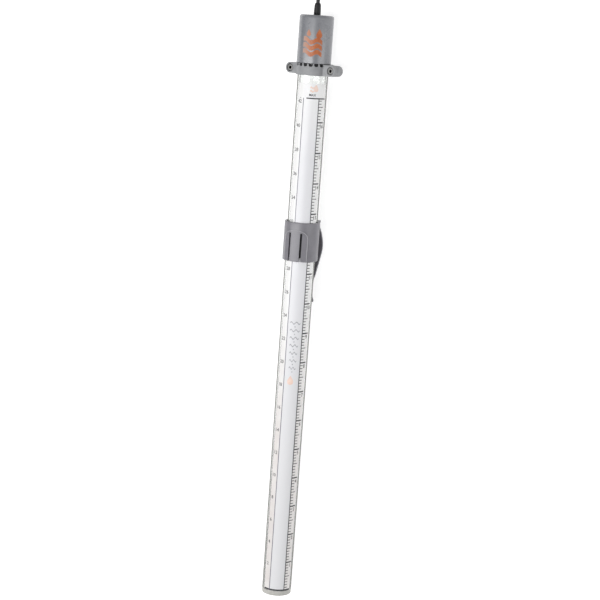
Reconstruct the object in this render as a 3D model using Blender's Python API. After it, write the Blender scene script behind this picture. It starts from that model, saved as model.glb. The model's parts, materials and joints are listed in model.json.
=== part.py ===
"""Liquid level sensor: a clear measuring tube with a sealed electronic head, a screwed collar,
a sliding clip that hangs it on a tank wall, and a free lead.

Metres, +Z up. The sensor lies on the ground along +Y, head towards +Y, resting on the belly of
its clip arm and on the pad of its collar. The origin is under the middle of its bounding box.

Inside the sensor's own frame (the empty "sensor_frame") the tube's axis is Z, counted from its
open end, and an angle of 0 round the tube is -Y, which faces up when the sensor lies down.
"""

import math

import bmesh
import bpy
from mathutils import Vector

MM = 0.001

# ---- clearances ----
GAP = 0.3 * MM  # between pieces that touch
SEAT = 0.15 * MM  # between pieces pushed one into the other
SKIN_GAP = 0.05 * MM  # between the tube and the film stuck on it

# ---- tube and printed film ----
TUBE_R = 12.7 * MM
TUBE_WALL = 1.6 * MM
TUBE_LENGTH = 472 * MM
FILM_THICKNESS = 0.1 * MM
FILM_FOOT = 4.6 * MM
FILM_CLEAR = 6.5 * MM  # bare tube between the film and the collar
FILM_HALF_ANGLE = math.radians(58)
FILM_TURN = math.radians(22)

# ---- collar ----
COLLAR_DROP = 22.5 * MM  # the collar's foot below the tube's closed end
COLLAR_HEIGHT = 9.5 * MM
COLLAR_WALL = 1.4 * MM
COLLAR_SPLIT = 0.3 * MM
BORE_TURN = math.radians(2.6)  # turns the facets of the bore, to keep their corners off the split; found by trial
HEAD_TURN = math.radians(-18)
SCREW_OUT = 6.85 * MM  # from the collar's wall out to each screw's axis
EAR_R = 4.5 * MM
EAR_FRONT = 4.6 * MM
EAR_BACK = 6.8 * MM
PAD_RISE = 4.25 * MM  # from the collar's wall out to the pad's face
PAD_WIDTH = 13 * MM
VENT_COUNT = 8
VENT_STEP = math.radians(18.9)
VENT_WIDTH = 3.4 * MM
VENT_DEPTH = 2.3 * MM

# ---- collar screws ----
SCREW_R = 1.5 * MM
SCREW_HEAD_R = 2.75 * MM
SCREW_HEAD = 3 * MM
SOCKET_R = 1.45 * MM
SOCKET_DEPTH = 2 * MM
HEAD_CLEARANCE = 0.5 * MM  # round the screw's head in its counterbore
NUT_R = 3.15 * MM
NUT_HEIGHT = 2.4 * MM

# ---- head cap ----
CAP_HEIGHT = 39.2 * MM
CAP_WALL = 1.4 * MM
CAP_ROOF = 2.4 * MM
CAP_EDGE = 2.6 * MM

# ---- inside the head ----
PLUG_DEPTH = 20 * MM
PLUG_FLANGE = 4 * MM
WELL_DEPTH = 2 * MM
SENSOR_WIDTH = 7 * MM
SENSOR_LIFT = 1.2 * MM
PORT_R = 1.2 * MM
SEAL_R = 0.75 * MM
PORT_SEAL_ROOM = 1.5 * MM  # between the sensor's nozzle and the wall of its well
BOARD_MARGIN = 1.45 * MM  # from the cap's inner wall to the board's edge
BOARD_THICKNESS = 1.6 * MM
BOARD_LIFT = 6 * MM
POST_R = 1.3 * MM
POST_INSET = 2.4 * MM  # from the board's edge in to each post's axis
POST_COUNT = 3

# ---- strain relief ----
RELIEF_R = 2.9 * MM
RELIEF_TIP_R = 2.35 * MM
RELIEF_LENGTH = 9.8 * MM
RELIEF_FLANGE_R = 4.6 * MM
RELIEF_FLANGE = 1.8 * MM
RELIEF_NOSE = 1.2 * MM  # the rounded tip
TAIL_R = 0.8 * MM
TAIL_RUN = 1.8 * MM  # straight at each end of the tail

# ---- clip ----
SLEEVE_WALL = 1.3 * MM
SLEEVE_FOOT = 294.8 * MM
SLEEVE_HEIGHT = 32.8 * MM
LINER_WALL = 0.42 * MM
LINER_FOOT = 3.2 * MM
LIP_HEIGHT = 1.2 * MM
SLOT_WIDTH = 1.7 * MM
SLOT_HEIGHT = 24 * MM
SLOT_ANGLE = math.radians(19)
PANEL_ANGLE = math.radians(41)
PANEL_RISE = 0.35 * MM
PANEL_TOP = 26.4 * MM
PANEL_ARCH = 6.6 * MM
ARM_THICKNESS = 2 * MM
ARM_BELLY_OUT = 9.15 * MM  # from the sleeve's wall out to the belly's outer face
ARM_BELLY_DROP = 22 * MM  # the belly's place below the sleeve's top
ARM_DROP = 70 * MM  # the whole arm
ARM_TIP = 5 * MM  # the turned-out tip
ARM_PAD = 13 * MM  # the straight stretch that bears on the wall
ARM_ROOT_WIDTH = 20 * MM
ARM_BELLY_WIDTH = 23 * MM
ARM_PAD_WIDTH = 17 * MM
ARM_TIP_WIDTH = 18.4 * MM
SHELF_THICKNESS = 2 * MM
SHELF_OUT = 3.15 * MM  # from the sleeve's wall to the shelf's edge

# ---- lead, with its routes in world metres ----
CORD_R = 1.6 * MM
CORD_STEP = 8 * MM  # between the points of a tube's middle line
CORD_ROUTE = (
    (-0.0003, 0.2545, 0.0182),
    (-0.0003, 0.2615, 0.0180),
    (-0.0013, 0.2715, 0.0147),
    (-0.0036, 0.2815, 0.0082),
    (-0.0055, 0.2900, 0.0027),
    (-0.0060, 0.2988, 0.0019),
)
CORD_END_ROUTE = (
    (0.0317, 0.3361, 0.0117),
    (0.0401, 0.3361, 0.0107),
    (0.0500, 0.3320, 0.0083),
    (0.0541, 0.3225, 0.0059),
    (0.0541, 0.3160, 0.0053),
)
COIL_CENTRE = (0.0181, 0.3120)
COIL_R = 19 * MM  # at the middle of the turns
COIL_ACROSS = 13.6 * MM
COIL_HEIGHT = 12.8 * MM
COIL_EDGE = 3 * MM
TIE_WIDTH = 6 * MM
TIE_WALL = 0.6 * MM
TIE_ANGLE = math.radians(-35)
PLUG_SHELL_R = 5.2 * MM
PLUG_SHELL_LENGTH = 15 * MM
PLUG_NOSE_R = 4.4 * MM
PLUG_NOSE_LENGTH = 9 * MM
PLUG_WALL = 0.7 * MM
PLUG_FLOOR = 3 * MM
PLUG_RECESS = 4.5 * MM  # from the nose's rim in to the insert
BOOT_LENGTH = 13 * MM
BOOT_TIP_R = 2.4 * MM
BOOT_R = 4.3 * MM
PIN_R = 0.5 * MM
PIN_LENGTH = 3.6 * MM
PIN_CIRCLE_R = 1.9 * MM
PIN_COUNT = 4

ROUND = 48  # sides of a large round piece
MEDIUM_ROUND = 32
SMALL_ROUND = 24

# ---- sizes that follow ----
BORE_R = TUBE_R - TUBE_WALL
FILM_R = TUBE_R + SKIN_GAP + FILM_THICKNESS
COLLAR_R = TUBE_R + SEAT + COLLAR_WALL
COLLAR_FOOT = TUBE_LENGTH - COLLAR_DROP
COLLAR_TOP = COLLAR_FOOT + COLLAR_HEIGHT
FILM_TOP = COLLAR_FOOT - FILM_CLEAR
SCREW_REACH = COLLAR_R + SCREW_OUT
COUNTERBORE_R = SCREW_HEAD_R + HEAD_CLEARANCE
PAD_REACH = COLLAR_R + PAD_RISE
CAP_FOOT = COLLAR_TOP + GAP
CAP_TOP = CAP_FOOT + CAP_HEIGHT
CAP_INNER_R = TUBE_R + SEAT
CAP_R = CAP_INNER_R + CAP_WALL
FLANGE_FOOT = TUBE_LENGTH + GAP
FLANGE_TOP = FLANGE_FOOT + PLUG_FLANGE
WELL_FOOT = FLANGE_TOP - WELL_DEPTH
WELL_R = PORT_R + PORT_SEAL_ROOM
BOARD_R = CAP_INNER_R - BOARD_MARGIN
BOARD_FOOT = FLANGE_TOP + BOARD_LIFT
BOARD_TOP = BOARD_FOOT + BOARD_THICKNESS
LEAD_HOLE_R = RELIEF_R + GAP
RELIEF_TIP = CAP_TOP + RELIEF_LENGTH
SLEEVE_TOP = SLEEVE_FOOT + SLEEVE_HEIGHT
LINER_R = FILM_R + SEAT + LINER_WALL
SLEEVE_BORE = LINER_R + SEAT
SLEEVE_R = SLEEVE_BORE + SLEEVE_WALL
SHELF_REACH = SLEEVE_R + SHELF_OUT
ARM_BELLY = SLEEVE_R + ARM_BELLY_OUT  # from the tube's axis
ARM_TOP = SLEEVE_TOP - SHELF_THICKNESS - GAP
ARM_ROOT_R = SLEEVE_R + GAP + ARM_THICKNESS / 2
ARM_PAD_R = FILM_R + GAP + ARM_THICKNESS / 2
COIL_FOOT = TIE_WALL + GAP


def clear_scene():
    for obj in list(bpy.data.objects):
        bpy.data.objects.remove(obj, do_unlink=True)


def material(name, colour, roughness, metallic=0.0, alpha=1.0):
    mat = bpy.data.materials.new(name)
    mat.use_nodes = True
    shader = mat.node_tree.nodes["Principled BSDF"]
    shader.inputs["Base Color"].default_value = (*colour, 1)
    shader.inputs["Roughness"].default_value = roughness
    shader.inputs["Metallic"].default_value = metallic
    shader.inputs["Alpha"].default_value = alpha
    return mat


def empty(name, parent=None, place=(0, 0, 0), turn=(0, 0, 0)):
    obj = bpy.data.objects.new(name, None)
    bpy.context.collection.objects.link(obj)
    obj.parent = parent
    obj.location = place
    obj.rotation_euler = turn
    return obj


def finish(name, bm, mat, parent, sharp=35):
    """Writes the bmesh to a new object in its parent's frame."""
    bmesh.ops.recalc_face_normals(bm, faces=bm.faces)
    mesh = bpy.data.meshes.new(name)
    bm.to_mesh(mesh)
    bm.free()
    obj = bpy.data.objects.new(name, mesh)
    bpy.context.collection.objects.link(obj)
    obj.parent = parent
    if mat:
        mesh.materials.append(mat)
    mesh.shade_smooth()
    mesh.set_sharp_from_angle(angle=math.radians(sharp))
    return obj


def turned(name, profile, mat, parent, sides=ROUND, place=(0, 0, 0)):
    """A solid turned round Z from (radius, height) points. A closed loop off the axis makes a ring."""
    bm = bmesh.new()
    rings = []
    for radius, height in profile:
        if radius == 0:
            rings.append([bm.verts.new((0, 0, height))])
            continue
        angles = [2 * math.pi * i / sides for i in range(sides)]
        rings.append([bm.verts.new((radius * math.cos(a), radius * math.sin(a), height)) for a in angles])
    closed = profile[0][0] > 0
    pairs = list(zip(rings, rings[1:] + (rings[:1] if closed else [])))
    if not closed:
        pairs = pairs[: len(rings) - 1]
    for first, second in pairs:
        for i in range(sides):
            j = (i + 1) % sides
            if len(first) == 1:
                bm.faces.new((first[0], second[j], second[i]))
            elif len(second) == 1:
                bm.faces.new((first[i], first[j], second[0]))
            else:
                bm.faces.new((first[i], first[j], second[j], second[i]))
    bmesh.ops.translate(bm, verts=bm.verts, vec=place)
    return finish(name, bm, mat, parent)


def bored(outer, inner, foot, top):
    """The profile of a plain tube."""
    return [(outer, foot), (outer, top), (inner, top), (inner, foot)]


def torus(name, ring_r, section_r, height, mat, parent, sides=MEDIUM_ROUND):
    section = [2 * math.pi * i / 8 for i in range(8)]
    profile = [(ring_r + section_r * math.cos(a), height + section_r * math.sin(a)) for a in section]
    return turned(name, profile, mat, parent, sides)


def prism(name, outline, low, high, mat, parent, along="Z"):
    """An outline of (a, b) points, extruded. Along Z they are (x, y), and along Y they are (x, z)."""
    bm = bmesh.new()
    if along == "Z":
        foot = [bm.verts.new((a, b, low)) for a, b in outline]
        top = [bm.verts.new((a, b, high)) for a, b in outline]
    else:
        foot = [bm.verts.new((a, low, b)) for a, b in outline]
        top = [bm.verts.new((a, high, b)) for a, b in outline]
    bm.faces.new(foot)
    bm.faces.new(reversed(top))
    for i in range(len(outline)):
        j = (i + 1) % len(outline)
        bm.faces.new((foot[i], top[i], top[j], foot[j]))
    return finish(name, bm, mat, parent)


def block(name, low, high, mat, parent):
    outline = [(low[0], low[1]), (high[0], low[1]), (high[0], high[1]), (low[0], high[1])]
    return prism(name, outline, low[2], high[2], mat, parent)


def circle(radius, sides, centre=(0, 0), start=0.0):
    angles = [start + 2 * math.pi * i / sides for i in range(sides)]
    return [(centre[0] + radius * math.cos(a), centre[1] + radius * math.sin(a)) for a in angles]


def stadium(half_span, radius, height):
    """A flat outline with two round ends, centred on the given height."""
    right = [math.radians(-90 + 15 * i) for i in range(13)]
    points = [(half_span + radius * math.cos(a), height + radius * math.sin(a)) for a in right]
    return points + [(-x, 2 * height - z) for x, z in points]


def boolean(target, other, operation):
    change = target.modifiers.new(other.name, "BOOLEAN")
    change.operation = operation
    change.object = other
    change.solver = "EXACT"
    other.hide_render = True
    other.display_type = "WIRE"


def cut(target, *cutters):
    for cutter in cutters:
        boolean(target, cutter, "DIFFERENCE")


def add(target, *others):
    for other in others:
        boolean(target, other, "UNION")


def make_materials():
    return {
        "acrylic": material("clear_acrylic", (0.93, 0.95, 0.95), 0.05, alpha=0.3),
        "film": material("printed_film", (0.88, 0.88, 0.90), 0.35),
        "cap": material("cap_plastic", (0.33, 0.34, 0.36), 0.42),
        "collar": material("collar_plastic", (0.36, 0.37, 0.39), 0.55),
        "clip": material("clip_plastic", (0.24, 0.24, 0.26), 0.48),
        "steel": material("screw_steel", (0.72, 0.73, 0.74), 0.22, metallic=1.0),
        "rubber": material("seal_rubber", (0.02, 0.02, 0.02), 0.7),
        "plug": material("black_plastic", (0.03, 0.03, 0.033), 0.5),
        "board": material("green_laminate", (0.02, 0.15, 0.06), 0.45),
        "ivory": material("header_plastic", (0.75, 0.70, 0.60), 0.5),
        "aluminium": material("capacitor_can", (0.75, 0.76, 0.78), 0.3, metallic=1.0),
        "cable": material("cable_jacket", (0.025, 0.025, 0.027), 0.5),
        "brass": material("plug_contacts", (0.80, 0.62, 0.30), 0.3, metallic=1.0),
    }


# ---- tube ----
def make_tube(mats, frame):
    turned("tube", bored(TUBE_R, BORE_R, 0, TUBE_LENGTH), mats["acrylic"], frame)


def make_film(mats, frame):
    """The scale is printed on a film that wraps part of the way round the tube."""
    steps = 24
    bm = bmesh.new()
    columns = []
    for i in range(steps + 1):
        angle = FILM_TURN - FILM_HALF_ANGLE + 2 * FILM_HALF_ANGLE * i / steps
        direction = Vector((math.sin(angle), -math.cos(angle), 0))
        inner = direction * (TUBE_R + SKIN_GAP)
        outer = direction * FILM_R
        foot, top = Vector((0, 0, FILM_FOOT)), Vector((0, 0, FILM_TOP))
        columns.append([bm.verts.new(p) for p in (inner + foot, outer + foot, outer + top, inner + top)])
    for first, second in zip(columns, columns[1:]):
        for i in range(4):
            j = (i + 1) % 4
            bm.faces.new((first[i], first[j], second[j], second[i]))
    bm.faces.new(columns[0])
    bm.faces.new(reversed(columns[-1]))
    finish("scale_label", bm, mats["film"], frame)


# ---- collar ----
def screw_tools(name, head, side, holes):
    """Round cutters along the screw's axis: (radius, from, to, sides) with Y counted from the split."""
    cutters = []
    for i, (radius, low, high, sides) in enumerate(holes):
        centre = (side * SCREW_REACH, COLLAR_FOOT + COLLAR_HEIGHT / 2)
        outline = circle(radius, sides, centre, math.pi / sides)
        cutters.append(prism(f"{name}_{i}", outline, low, high, None, head, along="Y"))
    return cutters


def collar_blank(name, head, mats, ear_low, ear_high):
    middle = COLLAR_FOOT + COLLAR_HEIGHT / 2
    profile = [(0, COLLAR_FOOT), (COLLAR_R, COLLAR_FOOT), (COLLAR_R, COLLAR_TOP), (0, COLLAR_TOP)]
    half = turned(name, profile, mats["collar"], head)
    outline = stadium(SCREW_REACH, EAR_R, middle)
    ears = prism(f"{name}_ears", outline, ear_low, ear_high, None, head, along="Y")
    add(half, ears)
    return half


def collar_bore(name, head):
    low, high = COLLAR_FOOT - GAP, COLLAR_TOP + GAP
    bore = turned(name, [(0, low), (TUBE_R + SEAT, low), (TUBE_R + SEAT, high), (0, high)], None, head)
    bore.rotation_euler.z = BORE_TURN
    return bore


def half_space(name, head, low_y, high_y):
    reach = SCREW_REACH + 2 * EAR_R
    return block(name, (-reach, low_y, COLLAR_FOOT - GAP), (reach, high_y, COLLAR_TOP + GAP), None, head)


def make_collar_front(mats, head):
    split = COLLAR_SPLIT / 2
    collar = collar_blank("collar_front", head, mats, -EAR_FRONT, 0)
    cut(collar, half_space("front_split", head, -split, SCREW_REACH), collar_bore("front_bore", head))
    floor = -EAR_FRONT + SCREW_HEAD + GAP
    for side, word in ((-1, "left"), (1, "right")):
        holes = [(COUNTERBORE_R, -EAR_FRONT - GAP, floor, SMALL_ROUND),
                 (SCREW_R + SEAT, -EAR_FRONT, GAP, SMALL_ROUND)]
        cut(collar, *screw_tools(f"front_hole_{word}", head, side, holes))
    half, corner = VENT_WIDTH / 2, VENT_WIDTH / 4
    low, high = COLLAR_TOP - VENT_DEPTH, COLLAR_TOP + GAP
    outline = [(-half, high), (-half, low + corner), (-corner, low)]
    outline += [(-x, z) for x, z in reversed(outline)]
    for i in range(VENT_COUNT):
        angle = (i - (VENT_COUNT - 1) / 2) * VENT_STEP
        vent = prism(f"vent_{i}", outline, -COLLAR_R - GAP, -TUBE_R + COLLAR_WALL, None, head, along="Y")
        vent.rotation_euler.z = angle
        cut(collar, vent)


def make_collar_rear(mats, head):
    split = COLLAR_SPLIT / 2
    collar = collar_blank("collar_rear", head, mats, 0, EAR_BACK)
    low, high = (-PAD_WIDTH / 2, BORE_R, COLLAR_FOOT + GAP), (PAD_WIDTH / 2, PAD_REACH, COLLAR_TOP - GAP)
    add(collar, block("rear_pad", low, high, None, head))
    cut(collar, half_space("rear_split", head, -SCREW_REACH, split), collar_bore("rear_bore", head))
    for side, word in ((-1, "left"), (1, "right")):
        holes = [(SCREW_R + SEAT, -GAP, EAR_BACK + GAP, SMALL_ROUND),
                 (NUT_R + SEAT, EAR_BACK - NUT_HEIGHT - SEAT, EAR_BACK + GAP, 6)]
        cut(collar, *screw_tools(f"rear_hole_{word}", head, side, holes))


def make_screws(mats, head):
    """Socket-head screws with their nuts. Each is turned on Z and laid along the screw hole."""
    head_face = -EAR_FRONT + GAP
    under_head = head_face + SCREW_HEAD - SEAT
    nut_foot = EAR_BACK - NUT_HEIGHT
    for side, word in ((-1, "left"), (1, "right")):
        place = Vector((side * SCREW_REACH, 0, COLLAR_FOOT + COLLAR_HEIGHT / 2))
        axis = empty(f"screw_axis_{word}", head, place, (math.radians(-90), 0, 0))
        profile = [(0, head_face), (SCREW_HEAD_R - SEAT, head_face), (SCREW_HEAD_R, head_face + SEAT),
                   (SCREW_HEAD_R, under_head), (SCREW_R, under_head), (SCREW_R, EAR_BACK), (0, EAR_BACK)]
        screw = turned(f"collar_screw_{word}", profile, mats["steel"], axis, SMALL_ROUND)
        floor = head_face + SOCKET_DEPTH
        cut(screw, prism(f"socket_{word}", circle(SOCKET_R, 6), head_face - GAP, floor, None, axis))
        outline = circle(NUT_R, 6, start=math.pi / 6)
        nut = prism(f"collar_nut_{word}", outline, nut_foot, EAR_BACK - SEAT, mats["steel"], axis)
        hole = circle(SCREW_R + SEAT, SMALL_ROUND)
        cut(nut, prism(f"nut_hole_{word}", hole, nut_foot - GAP, EAR_BACK + GAP, None, axis))


# ---- head ----
def make_cap(mats, head):
    bend = [math.radians(15 * i) for i in range(7)]
    edge = [(CAP_R - CAP_EDGE * (1 - math.cos(a)), CAP_TOP - CAP_EDGE * (1 - math.sin(a))) for a in bend]
    roof = CAP_TOP - CAP_ROOF
    corner = CAP_EDGE / 2
    profile = [(CAP_R, CAP_FOOT), *edge, (LEAD_HOLE_R, CAP_TOP), (LEAD_HOLE_R, roof),
               (CAP_INNER_R - corner, roof), (CAP_INNER_R, roof - corner), (CAP_INNER_R, CAP_FOOT)]
    turned("head_cap", profile, mats["cap"], head)


def make_sensor_plug(mats, head):
    """The plug closes the tube, carries the board on posts and leads the pressure to the sensor."""
    body_r = BORE_R - SEAT
    foot = TUBE_LENGTH - PLUG_DEPTH
    groove_r = body_r - 2 * SEAL_R
    groove = 2 * SEAL_R + GAP
    flange_r = TUBE_R - GAP
    lower = foot + PLUG_DEPTH * 0.25
    upper = foot + PLUG_DEPTH * 0.6
    rim = FLANGE_FOOT + PLUG_FLANGE / 2
    profile = [(PORT_R, foot), (body_r - GAP, foot), (body_r, foot + GAP)]
    for height in (lower, upper):
        profile += [(body_r, height - groove / 2), (groove_r, height - groove / 2),
                    (groove_r, height + groove / 2), (body_r, height + groove / 2)]
    rim_groove_r = flange_r - 2 * SEAL_R
    profile += [(body_r, FLANGE_FOOT), (flange_r, FLANGE_FOOT),
                (flange_r, rim - groove / 2), (rim_groove_r, rim - groove / 2),
                (rim_groove_r, rim + groove / 2), (flange_r, rim + groove / 2), (flange_r, FLANGE_TOP)]
    profile += [(WELL_R, FLANGE_TOP), (WELL_R, WELL_FOOT), (PORT_R, WELL_FOOT)]
    plug = turned("sensor_plug", profile, mats["plug"], head, MEDIUM_ROUND)
    circle_r = BOARD_R - POST_INSET
    for i in range(POST_COUNT):
        angle = 2 * math.pi * i / POST_COUNT + math.pi / 2
        centre = (circle_r * math.cos(angle), circle_r * math.sin(angle))
        post = prism(f"post_{i}", circle(POST_R, 12, centre), FLANGE_TOP - GAP, BOARD_FOOT - SEAT, None, head)
        add(plug, post)
    seal_ring = body_r - SEAL_R - SKIN_GAP / 2
    torus("plug_seal_lower", seal_ring, SEAL_R - SKIN_GAP, lower, mats["rubber"], head)
    torus("plug_seal_upper", seal_ring, SEAL_R - SKIN_GAP, upper, mats["rubber"], head)
    torus("cap_seal", flange_r - SEAL_R + SKIN_GAP / 2, SEAL_R - SKIN_GAP, rim, mats["rubber"], head)


def make_electronics(mats, head):
    board = prism("sensor_board", circle(BOARD_R, 36), BOARD_FOOT, BOARD_TOP, mats["board"], head)
    notch = block("board_notch", (-BOARD_R / 4, -BOARD_R - GAP, BOARD_FOOT - GAP),
                  (BOARD_R / 4, -BOARD_R * 0.78, BOARD_TOP + GAP), None, head)
    cut(board, notch)
    body_half = SENSOR_WIDTH / 2
    body_foot = FLANGE_TOP + SENSOR_LIFT
    sensor = block("pressure_sensor", (-body_half, -body_half, body_foot),
                   (body_half, body_half, BOARD_FOOT - SEAT), mats["aluminium"], head)
    low, high = WELL_FOOT + GAP, body_foot + GAP
    profile = [(0, low), (PORT_R, low), (PORT_R, high), (0, high)]
    add(sensor, turned("sensor_nozzle", profile, None, head, SMALL_ROUND))
    seal_r = (WELL_R - PORT_R) / 2 - SKIN_GAP
    seal_height = WELL_FOOT + seal_r + SEAT
    torus("port_seal", (WELL_R + PORT_R) / 2, seal_r, seal_height, mats["rubber"], head, SMALL_ROUND)
    top = BOARD_TOP + SEAT
    low, high = (-7 * MM, -1 * MM, top), (-2 * MM, 4 * MM, top + 1 * MM)
    block("controller_chip", low, high, mats["plug"], head)
    low, high = (1.5 * MM, -5.5 * MM, top), (6.5 * MM, -1.5 * MM, top + 1.4 * MM)
    block("interface_chip", low, high, mats["plug"], head)
    shoulder, lid = top + 3.7 * MM, top + 4.1 * MM
    can = [(0, top), (2 * MM, top), (2 * MM, shoulder), (1.6 * MM, lid), (0, lid)]
    turned("smoothing_capacitor", can, mats["aluminium"], head, 20, (-4.5 * MM, -5 * MM, 0))
    header_top = top + 4 * MM
    header = block("board_header", (0, 3 * MM, top), (8 * MM, 7 * MM, header_top), mats["ivory"], head)
    recess = block("header_recess", (0.7 * MM, 3.7 * MM, top + 1.2 * MM),
                   (7.3 * MM, 6.3 * MM, header_top + GAP), None, head)
    cut(header, recess)
    return Vector((4 * MM, 5 * MM, header_top + GAP))


def poly_tube(name, points, radius, mat, parent=None):
    """A tube along the points."""
    curve = bpy.data.curves.new(name, "CURVE")
    curve.dimensions = "3D"
    curve.bevel_depth = radius
    curve.bevel_resolution = 2
    curve.use_fill_caps = True
    spline = curve.splines.new("POLY")
    spline.points.add(len(points) - 1)
    for slot, point in zip(spline.points, points):
        slot.co = (*point, 1)
    curve.materials.append(mat)
    obj = bpy.data.objects.new(name, curve)
    bpy.context.collection.objects.link(obj)
    obj.parent = parent
    return obj


def smooth_route(points, step):
    """Points a step apart on the smooth curve through the route's own points."""
    points = [Vector(p) for p in points]
    ends = [2 * points[0] - points[1]] + points + [2 * points[-1] - points[-2]]
    fine = [points[0]]
    for a, b, c, d in zip(ends, ends[1:], ends[2:], ends[3:]):
        for i in range(1, 41):
            t = i / 40
            fine.append(0.5 * ((2 * b) + (c - a) * t + (2 * a - 5 * b + 4 * c - d) * t * t
                               + (3 * b - a - 3 * c + d) * t ** 3))
    length = sum((b - a).length for a, b in zip(fine, fine[1:]))
    count = max(2, round(length / step))
    even, walked, target = [fine[0]], 0.0, length / count
    for a, b in zip(fine, fine[1:]):
        stretch = (b - a).length
        while walked + stretch >= target * len(even) and len(even) < count:
            even.append(a.lerp(b, (target * len(even) - walked) / stretch))
        walked += stretch
    return even + [fine[-1]]


def make_strain_relief(mats, head, header_point):
    flange_top = CAP_TOP - CAP_ROOF - GAP
    flange_foot = flange_top - RELIEF_FLANGE
    shoulder = RELIEF_TIP - RELIEF_NOSE
    profile = [(0, flange_foot), (RELIEF_FLANGE_R, flange_foot), (RELIEF_FLANGE_R, flange_top),
               (RELIEF_R, flange_top), (RELIEF_R, CAP_TOP + GAP), (RELIEF_TIP_R, shoulder)]
    profile += [(RELIEF_TIP_R - SEAT, shoulder + RELIEF_NOSE / 2), (CORD_R + SEAT, RELIEF_TIP), (0, RELIEF_TIP)]
    turned("strain_relief", profile, mats["cable"], head, SMALL_ROUND)
    start = Vector((0, 0, flange_foot - GAP))
    run = Vector((0, 0, TAIL_RUN))
    route = smooth_route([start, start - run, header_point + run, header_point], 1.5 * TAIL_R)
    poly_tube("lead_tail", route, TAIL_R, mats["cable"], head)


# ---- clip ----
def make_liner(mats, slider):
    foot = SLEEVE_FOOT + LINER_FOOT
    top = SLEEVE_TOP - LIP_HEIGHT - GAP
    turned("grip_liner", bored(LINER_R, FILM_R + SEAT, foot, top), mats["rubber"], slider)


def arch_height(angle):
    """The raised panel's top edge at an angle from its middle."""
    share = min(1.0, abs(angle) / PANEL_ANGLE)
    return SLEEVE_FOOT + PANEL_TOP - PANEL_ARCH * (1 - math.sqrt(1 - share ** 2))


def make_sleeve(mats, clip):
    lip_r = FILM_R + 2 * SEAT
    profile = [(SLEEVE_R - GAP, SLEEVE_FOOT), (SLEEVE_R, SLEEVE_FOOT + GAP), (SLEEVE_R, SLEEVE_TOP - GAP),
               (SLEEVE_R - GAP, SLEEVE_TOP), (lip_r, SLEEVE_TOP), (lip_r, SLEEVE_TOP - LIP_HEIGHT),
               (SLEEVE_BORE, SLEEVE_TOP - LIP_HEIGHT), (SLEEVE_BORE, SLEEVE_FOOT)]
    sleeve = turned("clip_sleeve", profile, mats["clip"], clip)
    steps = 20
    bm = bmesh.new()
    columns = []
    for i in range(steps + 1):
        angle = -PANEL_ANGLE + 2 * PANEL_ANGLE * i / steps
        direction = Vector((math.sin(angle), -math.cos(angle), 0))
        inner, outer = direction * (SLEEVE_R - SLEEVE_WALL / 2), direction * (SLEEVE_R + PANEL_RISE)
        foot, top = Vector((0, 0, SLEEVE_FOOT + GAP)), Vector((0, 0, arch_height(angle)))
        columns.append([bm.verts.new(p) for p in (inner + foot, outer + foot, outer + top, inner + top)])
    for first, second in zip(columns, columns[1:]):
        for i in range(4):
            j = (i + 1) % 4
            bm.faces.new((first[i], first[j], second[j], second[i]))
    bm.faces.new(columns[0])
    bm.faces.new(reversed(columns[-1]))
    add(sleeve, finish("arch_panel", bm, None, clip))
    low = (-ARM_ROOT_WIDTH / 2, SLEEVE_BORE + SLEEVE_WALL / 3, SLEEVE_TOP - SHELF_THICKNESS)
    high = (ARM_ROOT_WIDTH / 2, SHELF_REACH, SLEEVE_TOP - SKIN_GAP)
    add(sleeve, block("arm_shelf", low, high, None, clip))
    for side in (-1, 1):
        slot = block(f"tongue_slot_{side}", (-SLOT_WIDTH / 2, -SLEEVE_R - 2 * GAP, SLEEVE_FOOT - GAP),
                     (SLOT_WIDTH / 2, -SLEEVE_BORE * 0.9, SLEEVE_FOOT + SLOT_HEIGHT), None, clip)
        slot.rotation_euler.z = side * SLOT_ANGLE
        cut(sleeve, slot)


def arm_line():
    """(drop below the sleeve's top, distance from the tube's axis, width) along the arm's middle."""
    belly = ARM_BELLY - ARM_THICKNESS / 2
    pad_end = ARM_DROP - ARM_TIP
    pad_start = pad_end - ARM_PAD
    bulge = belly - ARM_PAD_R
    return [
        (SLEEVE_TOP - ARM_TOP, ARM_ROOT_R, ARM_ROOT_WIDTH),
        (6 * MM, ARM_ROOT_R + 0.7 * MM, ARM_ROOT_WIDTH),
        (ARM_BELLY_DROP * 0.5, ARM_ROOT_R + 0.42 * bulge, ARM_BELLY_WIDTH - 1 * MM),
        (ARM_BELLY_DROP * 0.78, ARM_ROOT_R + 0.75 * bulge, ARM_BELLY_WIDTH),
        (ARM_BELLY_DROP, belly, ARM_BELLY_WIDTH),
        (ARM_BELLY_DROP + 5 * MM, belly - 0.1 * bulge, ARM_BELLY_WIDTH),
        (ARM_BELLY_DROP + 14 * MM, ARM_PAD_R + 0.5 * bulge, ARM_BELLY_WIDTH - 1.4 * MM),
        (pad_start - 5 * MM, ARM_PAD_R + 0.1 * bulge, ARM_PAD_WIDTH + 2 * MM),
        (pad_start, ARM_PAD_R, ARM_PAD_WIDTH),
        (pad_end, ARM_PAD_R, ARM_PAD_WIDTH),
        (ARM_DROP - 2 * MM, ARM_PAD_R + 0.6 * MM, ARM_TIP_WIDTH),
        (ARM_DROP, ARM_PAD_R + 1.7 * MM, ARM_TIP_WIDTH),
    ]


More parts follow.
